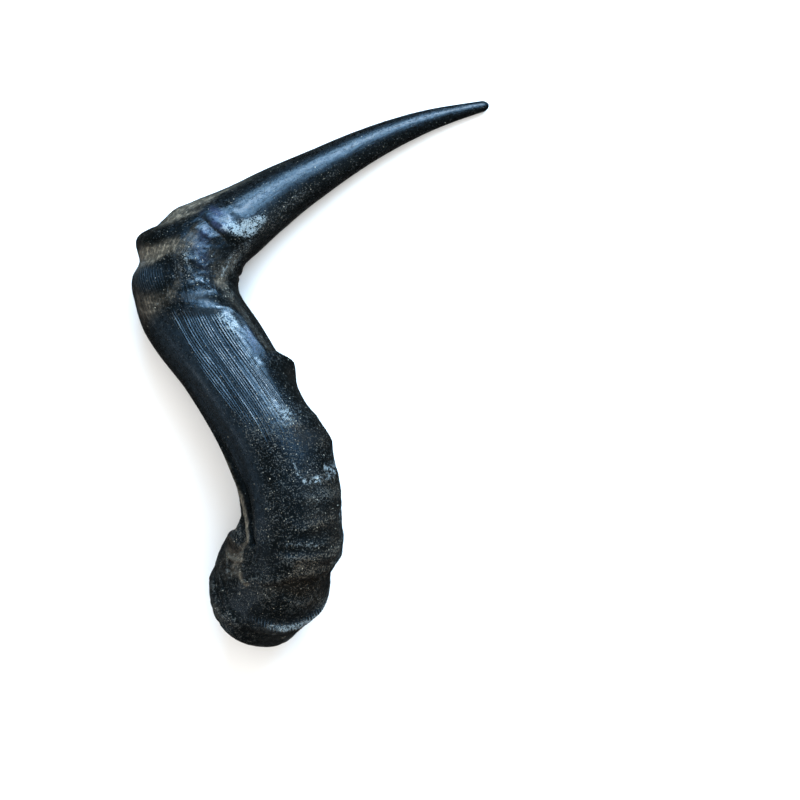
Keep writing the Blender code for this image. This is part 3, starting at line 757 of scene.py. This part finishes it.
# Painted shade: less pale grit in the hollows of the base's folds darkens them.
grit *= 1 + on_base * (0.7 * proud - 0.25 * sunk)
polish = mark["polish"] + 0.30 * smooth_step(130, 180, along) + 0.25 * on_tip + 0.30 * on_left_band
polish += 0.35 * rib_strength + 0.8 * serrated - 0.18 * on_knee
fields = {
    "dust": np.clip(mark["dust"] * (0.9 + 0.6 * broad) + 0.30 * sunk * on_knee, 0, 1),
    "brown": np.clip(mark["brown"] + 0.3 * hidden_side * (1 - on_tip), 0, 1),
    "blue_reflection": np.clip(mark["blue_reflection"] + 0.25 * hidden_side, 0, 1),
    "violet_reflection": np.clip(mark["violet_reflection"], 0, 1),
    "polish": np.clip(polish, 0, 1),
    "grit": np.clip(grit, 0, 1.3),
    "scuff_and_highlight": np.clip(mark["scuff_and_highlight"], 0, 1.3),
    "rib_number": line_number,
    # rib_strength also tells the material where to paint crest highlights and groove shade.
    "rib_strength": np.clip(rib_strength + 0.6 * lined_knob + 1.6 * serrated, 0, 1.6),
    "fibrous": np.clip(0.35 + 0.65 * lined_knob + 0.5 * on_tip + 0.4 * rib_strength - 0.3 * on_knee, 0, 1),
}
for name, field in fields.items():
    print(name, "from", field.min().round(2), "to", field.max().round(2))

# %% [markdown]
# The fields are stored on the mesh as attributes, which the material reads by name. The cut has none of them
# and tells its sheath, core and pores apart instead. Each point also carries its place on a straightened
# horn, so that fibres follow the bend.

# %% Attributes on the mesh
def store(name, on_skin, on_cut):
    """Stores a value for each point: on the skin, on the cut, and at the two middle points."""
    all_values = np.concatenate([on_skin.ravel(), on_cut.ravel(), [on_cut[-1].mean(), on_skin[-1].mean()]])
    mesh.attributes.new(name, "FLOAT", "POINT").data.foreach_set("value", all_values.astype(np.float32))


on_cut_zero = np.zeros(cut_share.shape)
for name, field in fields.items():
    store(name, field, on_cut_zero)
store("cut", np.zeros(along.shape), np.ones(cut_share.shape))
store("core", np.zeros(along.shape), in_core)
store("sponge", np.zeros(along.shape), np.clip(sponge + in_gap, 0, 1))
straight = np.stack([
    RELIEF_RADIUS * np.cos(np.radians(around)),
    RELIEF_RADIUS * np.sin(np.radians(around)),
    along,
], axis=-1)
place = np.concatenate([straight.reshape(-1, 3), cut_points.reshape(-1, 3), [middle_point],
                        straight[-1, :1]])
mesh.attributes.new("straight", "FLOAT_VECTOR", "POINT").data.foreach_set(
    "vector", (place * MM).astype(np.float32).ravel())
print("fields on the mesh:", sorted(a.name for a in mesh.attributes if not a.name.startswith(".")))

# %% [markdown]
# Node trees are easier to read when one small function adds a node, sets it and links it. A value can be a
# number, a colour or the output of another node.

# %% Helpers for nodes
def put(tree, kind, settings=None, inputs=None):
    """Adds a shader node, sets its properties, and sets or links its inputs, named or numbered."""
    made = tree.nodes.new("ShaderNode" + kind)
    for name, value in (settings or {}).items():
        setattr(made, name, value)
    for name, value in (inputs or {}).items():
        if isinstance(value, bpy.types.NodeSocket):
            tree.links.new(value, made.inputs[name])
        else:
            made.inputs[name].default_value = value
    return made


def maths(tree, operation, first, second=0.0, third=0.0):
    """One Math node's result."""
    return put(tree, "Math", {"operation": operation}, {0: first, 1: second, 2: third}).outputs[0]


def remap(tree, value, from_low, from_high, to_low=0.0, to_high=1.0):
    """A value moved smoothly from one range to another, and held at its ends."""
    settings = {"interpolation_type": "SMOOTHSTEP"}
    inputs = {"Value": value, "From Min": from_low, "From Max": from_high,
              "To Min": to_low, "To Max": to_high}
    return put(tree, "MapRange", settings, inputs).outputs["Result"]


def mix_colours(tree, share, first, second):
    """Two colours mixed by a share."""
    made = put(tree, "Mix", {"data_type": "RGBA"}, {"Factor": share})
    colour_inputs = [socket for socket in made.inputs if socket.type == "RGBA"]
    for socket, value in zip(colour_inputs, (first, second)):
        if isinstance(value, bpy.types.NodeSocket):
            tree.links.new(value, socket)
        else:
            socket.default_value = (*value, 1.0)
    return next(socket for socket in made.outputs if socket.type == "RGBA")


def field_value(tree, name):
    """A number that the mesh carries."""
    return put(tree, "Attribute", {"attribute_name": name}).outputs["Fac"]


# %% [markdown]
# An effect that is needed more than once is a node group. It has named inputs and outputs, and each place
# that uses it gives its own values.

# %% Helpers for node groups
def new_group(name, inputs, outputs):
    """A node group with named inputs, given as name: (socket type, value), and named float outputs."""
    tree = bpy.data.node_groups.new(name, "ShaderNodeTree")
    for socket_name, (socket_type, value) in inputs.items():
        socket = tree.interface.new_socket(
            socket_name, in_out="INPUT", socket_type="NodeSocket" + socket_type)
        if value is not None:
            socket.default_value = value
    for socket_name in outputs:
        tree.interface.new_socket(socket_name, in_out="OUTPUT", socket_type="NodeSocketFloat")
    return tree, tree.nodes.new("NodeGroupInput").outputs, tree.nodes.new("NodeGroupOutput").inputs


def use_group(tree, group, inputs):
    """Places a node group in a material."""
    made = tree.nodes.new("ShaderNodeGroup")
    made.node_tree = group
    for name, value in inputs.items():
        if isinstance(value, bpy.types.NodeSocket):
            tree.links.new(value, made.inputs[name])
        else:
            made.inputs[name].default_value = value
    return made.outputs


# %% [markdown]
# Keratin is made of fibres that run along the horn. A noise texture whose space is squeezed along the horn
# gives streaks. They are a group with a spacing and a length, because the coarse streaks of the shaft and the
# hair-fine ones of the tip are the same effect at two sizes.

# %% Fibre group
fibre_group, given, out = new_group(
    "fibres", {"Place": ("Vector", None), "Spacing": ("Float", 0.001), "Length": ("Float", 0.02)},
    ["Streaks"])
across_scale = maths(fibre_group, "DIVIDE", 1.0, given["Spacing"])
along_scale = maths(fibre_group, "DIVIDE", 1.0, given["Length"])
scale = put(fibre_group, "CombineXYZ", None, {"X": across_scale, "Y": across_scale, "Z": along_scale})
squeezed = put(fibre_group, "VectorMath", {"operation": "MULTIPLY"},
               {0: given["Place"], 1: scale.outputs[0]}).outputs[0]
streaks = put(fibre_group, "TexNoise", None,
              {"Vector": squeezed, "Scale": 1.0, "Detail": 3.0, "Roughness": 0.6})
fibre_group.links.new(streaks.outputs["Fac"], out["Streaks"])
print("fibre group of", len(fibre_group.nodes), "nodes")

# %% [markdown]
# Bits of dry skin, lime and chalky dirt cling to a horn as pale grit. Looked at closely it is of three kinds:
# a fine grain like that of leather, small bright points, and short winding threads. A noise texture cut off
# at a level gives the grain, a few cells of a Voronoi texture give the points, and the narrow band where a
# noise passes its middle gives the threads. One group makes all three, more of each as the amount rises.

# %% Grit group
CRUMPLE_SCALE, CRUMPLE_REACH = 1100.0, 0.0012  # a noise that bends the points and threads, and metres
THREAD_SCALE, THREAD_PATCH_SCALE = 240.0, 330.0
POINT_SHARE = 0.46  # of the cells, where grit is thickest

grit_group, given, out = new_group(
    "grit", {"Place": ("Vector", None), "Spacing": ("Float", 0.0013), "Amount": ("Float", 0.5)},
    ["Grains", "Points", "Threads"])
fine_scale = maths(grit_group, "DIVIDE", 1.0, given["Spacing"])
grains = put(grit_group, "TexNoise", None,
             {"Vector": given["Place"], "Scale": fine_scale, "Detail": 2.0, "Roughness": 0.7})
least = maths(grit_group, "MULTIPLY_ADD", given["Amount"], -0.13, 0.66)
most = maths(grit_group, "ADD", least, 0.10)
grit_group.links.new(remap(grit_group, grains.outputs["Fac"], least, most), out["Grains"])

bent = put(grit_group, "TexNoise", None, {"Vector": given["Place"], "Scale": CRUMPLE_SCALE, "Detail": 2.0})
shift = put(grit_group, "VectorMath", {"operation": "SCALE"},
            {0: bent.outputs["Color"], "Scale": CRUMPLE_REACH})
moved = put(grit_group, "VectorMath", {"operation": "ADD"}, {0: given["Place"], 1: shift.outputs[0]})
cell_scale = maths(grit_group, "MULTIPLY", fine_scale, 0.72)
cells = put(grit_group, "TexVoronoi", {"feature": "F1"}, {"Vector": moved.outputs[0], "Scale": cell_scale})
chance = put(grit_group, "SeparateColor", None, {"Color": cells.outputs["Color"]}).outputs
share = maths(grit_group, "MULTIPLY", maths(grit_group, "POWER", given["Amount"], 2.0), POINT_SHARE)
shown = maths(grit_group, "GREATER_THAN", share, chance["Red"])
reach = maths(grit_group, "MULTIPLY_ADD", chance["Green"], 0.22, 0.10)
spot = remap(grit_group, maths(grit_group, "SUBTRACT", reach, cells.outputs["Distance"]), 0.0, 0.10)
bright = maths(grit_group, "MULTIPLY_ADD", maths(grit_group, "POWER", chance["Blue"], 2.0), 0.85, 0.15)
point = maths(grit_group, "MULTIPLY", maths(grit_group, "MULTIPLY", spot, bright), shown)
grit_group.links.new(point, out["Points"])

winding = put(grit_group, "TexNoise", None,
              {"Vector": moved.outputs[0], "Scale": THREAD_SCALE, "Detail": 1.5})
from_middle = maths(grit_group, "ABSOLUTE", maths(grit_group, "SUBTRACT", winding.outputs["Fac"], 0.5))
thread = remap(grit_group, from_middle, 0.018, 0.006)
patches = put(grit_group, "TexNoise", None,
              {"Vector": given["Place"], "Scale": THREAD_PATCH_SCALE, "Detail": 2.0})
wanted = maths(grit_group, "MULTIPLY_ADD", given["Amount"], -0.12, 0.66)
in_patch = remap(grit_group, patches.outputs["Fac"], wanted, maths(grit_group, "ADD", wanted, 0.06))
grit_group.links.new(maths(grit_group, "MULTIPLY", thread, in_patch), out["Threads"])
print("grit group of", len(grit_group.nodes), "nodes")

# %% [markdown]
# Handling leaves short pale scratches in every direction. Very long cells of a Voronoi texture, turned to a
# slant, make thin lines. Two turns of the same group cross each other.

# %% Scratch group
SLIMNESS = 14.0  # how many times longer than wide a scratch is

scratch_group, given, out = new_group(
    "scratches", {"Place": ("Vector", None), "Turn": ("Vector", (0.0, 0.0, 0.0)),
                  "Length": ("Float", 0.008), "Density": ("Float", 0.3)}, ["Scratches"])
turned_place = put(scratch_group, "VectorRotate", {"rotation_type": "EULER_XYZ"},
                   {"Vector": given["Place"], "Rotation": given["Turn"]}).outputs[0]
scale = maths(scratch_group, "DIVIDE", 1.0, given["Length"])
scaled = put(scratch_group, "VectorMath", {"operation": "SCALE"},
             {0: turned_place, "Scale": scale}).outputs[0]
narrow = put(scratch_group, "VectorMath", {"operation": "MULTIPLY"},
             {0: scaled, 1: (1.0, SLIMNESS, SLIMNESS)}).outputs[0]
cells = put(scratch_group, "TexVoronoi", {"feature": "F1"}, {"Vector": narrow, "Scale": 1.0})
chance = put(scratch_group, "SeparateColor", None, {"Color": cells.outputs["Color"]}).outputs
least = maths(scratch_group, "SUBTRACT", 1.0, given["Density"])
shown = maths(scratch_group, "GREATER_THAN", chance["Red"], least)
line = remap(scratch_group, cells.outputs["Distance"], 0.22, 0.08)
scratch_group.links.new(maths(scratch_group, "MULTIPLY", line, shown), out["Scratches"])
print("scratch group of", len(scratch_group.nodes), "nodes")

# %% [markdown]
# The horn itself is close to black, with a painted reflection of slate blue where it is polished and a
# brown tone towards the cut base, and dust lies in its hollows and on its knobs. Colour, roughness and bump
# all come from the same masks, so that a dusty place is brown and dull at once.

# %% Horn material: colour
BLOTCH_SCALE, MOTTLE_SCALE, GRAIN_SCALE = 60.0, 330.0, 950.0  # of three noises, from broad to fine
# The slate blue and the violet are painted reflections of the cool light, not the keratin's own colour.
BLACK, BLUE_REFLECTION, BROWN_BLACK = (0.0013, 0.0017, 0.0015), (0.0085, 0.0140, 0.0190), (0.0042, 0.0034, 0.0020)
VIOLET_REFLECTION = (0.021, 0.027, 0.058)
DUST, PALE_DUST = (0.052, 0.043, 0.030), (0.175, 0.145, 0.104)
GRIT, WARM_GRIT, POINT = (0.066, 0.068, 0.062), (0.086, 0.072, 0.052), (0.50, 0.47, 0.38)
# The pale rib tone is a painted highlight for the ribs' crests.
# The scuff tone serves both real chalky scuffs and painted highlights.
SCUFF_AND_HIGHLIGHT, RIB_HIGHLIGHT = (0.26, 0.31, 0.33), (0.040, 0.066, 0.092)
BONE, BONE_DARK, SHEATH = (0.52, 0.42, 0.29), (0.17, 0.11, 0.06), (0.030, 0.027, 0.023)

material = bpy.data.materials.new("horn_keratin")
material.use_nodes = True
tree = material.node_tree
shader = tree.nodes["Principled BSDF"]
straight_place = put(tree, "Attribute", {"attribute_name": "straight"}).outputs["Vector"]
object_place = put(tree, "TexCoord").outputs["Object"]
dust, brown, blue_reflection, violet_reflection = (field_value(tree, name) for name in ("dust", "brown", "blue_reflection", "violet_reflection"))
polish, grit_amount, scuff_and_highlight, fibrous = (
    field_value(tree, name) for name in ("polish", "grit", "scuff_and_highlight", "fibrous"))
cut, core, pores = (field_value(tree, name) for name in ("cut", "core", "sponge"))

coarse_fibres = {"Place": straight_place, "Spacing": 0.0015, "Length": 0.022}
fine_fibres = {"Place": straight_place, "Spacing": 0.0006, "Length": 0.009}
coarse, fine = (use_group(tree, fibre_group, fibre)["Streaks"] for fibre in (coarse_fibres, fine_fibres))
noises = [(BLOTCH_SCALE, 5.0, 0.65), (MOTTLE_SCALE, 3.0, 0.65), (GRAIN_SCALE, 2.0, 0.6)]
blotch, mottle, grain = (
    put(tree, "TexNoise", None, {"Vector": object_place, "Scale": noise_scale, "Detail": detail,
                                 "Roughness": roughness}).outputs["Fac"]
    for noise_scale, detail, roughness in noises)

# Painted reflection: slate blue, violet in places, laid over the black.
violet_reflection_here = maths(tree, "MULTIPLY", violet_reflection, remap(tree, blotch, 0.34, 0.54))
slate_reflection = mix_colours(tree, violet_reflection_here, BLUE_REFLECTION, VIOLET_REFLECTION)
blue_break = maths(tree, "MULTIPLY_ADD", mottle, 0.9, maths(tree, "MULTIPLY", coarse, 0.5))
blue_reflection_here = remap(tree, maths(tree, "MULTIPLY", maths(tree, "ADD", blue_reflection, 0.12), blue_break), 0.20, 0.95)
colour = mix_colours(tree, blue_reflection_here, BLACK, slate_reflection)
brown_here = remap(tree, maths(tree, "MULTIPLY", brown, maths(tree, "ADD", blotch, 0.45)), 0.25, 0.75)
colour = mix_colours(tree, brown_here, colour, BROWN_BLACK)
dust_break = maths(tree, "ADD", maths(tree, "MULTIPLY", coarse, 0.7), maths(tree, "MULTIPLY", mottle, 0.8))
dust_here = remap(tree, maths(tree, "MULTIPLY", dust, dust_break), 0.12, 0.85)
pale = remap(tree, maths(tree, "MULTIPLY", fine, mottle), 0.21, 0.38)
dust_colour = mix_colours(tree, pale, DUST, PALE_DUST)
colour = mix_colours(tree, maths(tree, "MULTIPLY", dust_here, 0.85), colour, dust_colour)
print("tones and dust take", len(tree.nodes), "nodes")

# %% [markdown]
# The crests of the ribs, of the knobs' lines and of the ring's serrations are painted paler as a highlight,
# and the grooves between them darker as painted shade. Grit, scratches and chalky scuffs lie over the horn's
# own colour, and some of the scuffs are painted highlights. Their masks are kept, because each is also rough
# and stands a little proud.

# %% Horn material: ribs, grit and scuffs
rib_phase = maths(tree, "PINGPONG", field_value(tree, "rib_number"), 0.5)
rib_break = remap(tree, fine, 0.30, 0.62, 0.55, 1.0)
strength = field_value(tree, "rib_strength")
rib_line = maths(tree, "MULTIPLY", remap(tree, rib_phase, 0.04, 0.22, 1.0, 0.0), strength)
rib_crest_highlight = maths(tree, "MULTIPLY", rib_line, rib_break)
# Painted shade darkens the grooves between the ribs; a painted highlight pales their crests.
rib_groove_shade = maths(tree, "MULTIPLY", remap(tree, rib_phase, 0.20, 0.36), strength)
colour = mix_colours(tree, maths(tree, "MULTIPLY", rib_groove_shade, 0.9), colour, BLACK)
colour = mix_colours(tree, maths(tree, "MINIMUM", maths(tree, "MULTIPLY", rib_crest_highlight, 0.8), 1.0), colour, RIB_HIGHLIGHT)
colour = mix_colours(tree, remap(tree, rib_crest_highlight, 0.90, 1.35, 0.0, 0.75), colour, SCUFF_AND_HIGHLIGHT)

thick = maths(tree, "MULTIPLY", grit_amount, remap(tree, blotch, 0.32, 0.62, 0.70, 1.10))
grit_here = use_group(tree, grit_group, {"Place": object_place, "Spacing": 0.00115, "Amount": thick})
grains, bright_points = grit_here["Grains"], grit_here["Points"]
scuff_and_highlight_grit = use_group(tree, grit_group, {"Place": object_place, "Spacing": 0.0010, "Amount": scuff_and_highlight})
scratch_share = maths(tree, "MULTIPLY", thick, 0.03)
one_way, other_way = (
    use_group(tree, scratch_group, {"Place": object_place, "Turn": turn_by, "Length": length,
                                    "Density": scratch_share})["Scratches"]
    for turn_by, length in (((0.3, 0.2, 0.7), 0.006), ((0.9, -0.4, -0.9), 0.004)))
threads = maths(tree, "MAXIMUM", grit_here["Threads"], scuff_and_highlight_grit["Threads"])
thread_share = maths(tree, "MINIMUM", maths(tree, "MULTIPLY_ADD", thick, 0.05, scuff_and_highlight), 1.0)
threads = maths(tree, "MULTIPLY", threads, thread_share)
lines = maths(tree, "MAXIMUM", threads, maths(tree, "MAXIMUM", one_way, other_way))
flaky = maths(tree, "MULTIPLY_ADD", scuff_and_highlight, 0.065, maths(tree, "MULTIPLY", mottle, grain))
# Pale scuffs: chalky scuffs on the shaft, painted highlights on the swell, the shoulder and the rim's ring.
scuff_and_highlight_patch = maths(tree, "MULTIPLY", remap(tree, scuff_and_highlight, 0.25, 0.9), remap(tree, flaky, 0.27, 0.35))
warmth = maths(tree, "MINIMUM", maths(tree, "ADD", brown_here, dust_here), 1.0)
grit_colour = mix_colours(tree, warmth, GRIT, WARM_GRIT)
colour = mix_colours(tree, maths(tree, "MULTIPLY", grains, 0.80), colour, grit_colour)
colour = mix_colours(tree, maths(tree, "MULTIPLY", scuff_and_highlight_patch, 0.70), colour, SCUFF_AND_HIGHLIGHT)
colour = mix_colours(tree, maths(tree, "MULTIPLY", lines, 0.75), colour, SCUFF_AND_HIGHLIGHT)
colour = mix_colours(tree, maths(tree, "MULTIPLY", bright_points, 0.85), colour, POINT)
print("with ribs, grit and scuffs", len(tree.nodes), "nodes")

# %% [markdown]
# The cut shows what a horn is inside: a dark sheath round cream bone with open pores. The same blotches and
# mottles that break up the skin's colour make the bone uneven, and the pores are darkest.

# %% Horn material: the cut
bone_grain = remap(tree, maths(tree, "MULTIPLY", blotch, mottle), 0.16, 0.36)
bone = mix_colours(tree, bone_grain, BONE_DARK, BONE)
bone = mix_colours(tree, maths(tree, "MULTIPLY", pores, 0.9), bone, BONE_DARK)
cut_colour = mix_colours(tree, core, SHEATH, bone)
colour = mix_colours(tree, cut, colour, cut_colour)
tree.links.new(colour, shader.inputs["Base Color"])
print("with the cut", len(tree.nodes), "nodes")

# %% [markdown]
# Polished keratin shines like a waxed shoe, dust is dull, and the two change over a few millimetres. The
# polish is a thin clear coat that is broken by fine mottles. The ribs, the grit and the fibres go into one
# bump, and the tone of the reflection is set on the shader itself.

# %% Horn material: gloss and bump
BUMP_DISTANCE = 0.00034  # metres of height for a bump of 1
speckle = maths(tree, "MULTIPLY", mottle, grain)
gloss = remap(tree, speckle, 0.14, 0.36, 0.22, 0.35)
worn = maths(tree, "MAXIMUM", scuff_and_highlight_patch, maths(tree, "MULTIPLY", grains, 0.7))
worn = maths(tree, "MAXIMUM", dust_here, worn)
dull = maths(tree, "MAXIMUM", worn, maths(tree, "MULTIPLY", brown_here, 0.6))
rough = maths(tree, "MULTIPLY_ADD", dull, 0.32, gloss)
rough = maths(tree, "MULTIPLY_ADD", polish, -0.05, rough)
rough = maths(tree, "MULTIPLY_ADD", grit_amount, 0.12, rough)
rough = maths(tree, "MAXIMUM", rough, maths(tree, "MULTIPLY", cut, 0.7))
tree.links.new(rough, shader.inputs["Roughness"])
coat = maths(tree, "MULTIPLY", polish, remap(tree, speckle, 0.15, 0.34, 0.15, 0.85))
coat = maths(tree, "MULTIPLY", coat, maths(tree, "SUBTRACT", 1.0, maths(tree, "MULTIPLY", worn, 0.7)))
tree.links.new(coat, shader.inputs["Coat Weight"])

hairs = maths(tree, "MULTIPLY", maths(tree, "ADD", maths(tree, "MULTIPLY", fine, 0.5), coarse), fibrous)
bumps = maths(tree, "MULTIPLY_ADD", rib_line, 0.90, maths(tree, "MULTIPLY", hairs, 0.55))
bumps = maths(tree, "MULTIPLY_ADD", grains, maths(tree, "MULTIPLY_ADD", grit_amount, 0.5, 0.10), bumps)
bumps = maths(tree, "MULTIPLY_ADD", mottle, maths(tree, "MULTIPLY_ADD", grit_amount, 0.2, 0.6), bumps)
bumps = maths(tree, "MULTIPLY_ADD", grain, 0.40, bumps)
bumps = maths(tree, "MULTIPLY_ADD", maths(tree, "MAXIMUM", lines, bright_points), 0.30, bumps)
bump = put(tree, "Bump", None, {"Strength": 1.0, "Distance": BUMP_DISTANCE, "Height": bumps})
tree.links.new(bump.outputs["Normal"], shader.inputs["Normal"])
shader.inputs["IOR"].default_value = 1.31
shader.inputs["Specular Tint"].default_value = (0.50, 0.74, 1.0, 1.0)
shader.inputs["Coat Roughness"].default_value = 0.25
mesh.materials.append(material)
print("the whole material has", len(tree.nodes), "nodes")

# %% [markdown]
# The piece takes the place of the plain solid and rides on the one body, the root.

# %% Put the horn in the frame
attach(horn, "root")
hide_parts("horn")
print("horn rides on root")

# %% [markdown]
# The horn lies on a plain pale floor, which isn't part of it. The floor is left out of reflections, so that
# the dark keratin stays dark.

# %% Floor
FLOOR_SIZE = 1.9  # metres
floor_mesh = bpy.data.meshes.new("floor")
half = FLOOR_SIZE / 2
corners = [(-half, -half, 0), (half, -half, 0), (half, half, 0), (-half, half, 0)]
floor_mesh.from_pydata(corners, [], [(0, 1, 2, 3)])
floor = bpy.data.objects.new("floor", floor_mesh)
bpy.context.scene.collection.objects.link(floor)
floor_material = bpy.data.materials.new("pale_floor")
floor_material.use_nodes = True
floor_shader = floor_material.node_tree.nodes["Principled BSDF"]
floor_shader.inputs["Base Color"].default_value = (0.90, 0.895, 0.885, 1.0)
floor_shader.inputs["Roughness"].default_value = 0.95
floor_mesh.materials.append(floor_material)
floor.visible_glossy = False
print("floor", FLOOR_SIZE, "m wide")

# %% [markdown]
# A large ceiling light keeps the floor even and the shadows faint, and is left out of reflections too. A soft
# window-like light beyond the horn draws the long cool highlight down its tip and shaft, and a small one
# before it whitens the middle of that highlight. Two weak lights do the same for the other sides.

# %% Lights
def area_light(name, position, target, size, power, colour):
    """A soft rectangular light that faces a point."""
    data = bpy.data.lights.new(name, "AREA")
    data.shape, data.size, data.size_y = "RECTANGLE", size[0], size[1]
    data.energy, data.color = power, colour
    light = bpy.data.objects.new(name, data)
    light.location = position
    light.rotation_euler = (Vector(target) - Vector(position)).to_track_quat("-Z", "Y").to_euler()
    light.visible_camera = False
    bpy.context.scene.collection.objects.link(light)
    return light


MIDDLE = (0.0, 0.0, 0.03)
ceiling = area_light("ceiling", (0.0, 0.0, 2.5), (0.0, 0.0, 0.0), (3.0, 3.0), 100.0, (1.0, 0.99, 0.97))
ceiling.visible_glossy = False
area_light("window", (0.40, 1.20, 1.08), MIDDLE, (1.40, 1.00), 68.0, (0.42, 0.71, 1.0))
area_light("sun_behind_cloud", (0.36, 1.08, 0.90), MIDDLE, (0.40, 0.30), 9.5, (0.90, 0.96, 1.0))
area_light("side", (1.35, -0.02, 0.66), MIDDLE, (0.5, 0.35), 1.2, (0.80, 0.92, 1.0))
area_light("back_side", (-1.2, -0.9, 0.40), MIDDLE, (0.9, 0.4), 5.0, (0.95, 0.97, 1.0))

# %% [markdown]
# The room beyond the floor is nearly white, but only for the camera, because its light would wash out the
# reflections. A Light Path node tells the camera's rays from the rest. The plain Standard view shows the
# colours as they are.

# %% Room
ROOM_STRENGTH, BACKDROP_STRENGTH = 0.05, 1.05
world = bpy.data.worlds.new("room")
world.use_nodes = True
background = world.node_tree.nodes["Background"]
seen = put(world.node_tree, "LightPath").outputs["Is Camera Ray"]
glow = maths(world.node_tree, "MULTIPLY_ADD", seen, BACKDROP_STRENGTH - ROOM_STRENGTH, ROOM_STRENGTH)
world.node_tree.links.new(glow, background.inputs["Strength"])
background.inputs["Color"].default_value = (0.97, 0.985, 1.0, 1.0)
bpy.context.scene.world = world
bpy.context.scene.view_settings.view_transform = "Standard"
print("room", ROOM_STRENGTH, "bright, and its backdrop", BACKDROP_STRENGTH)
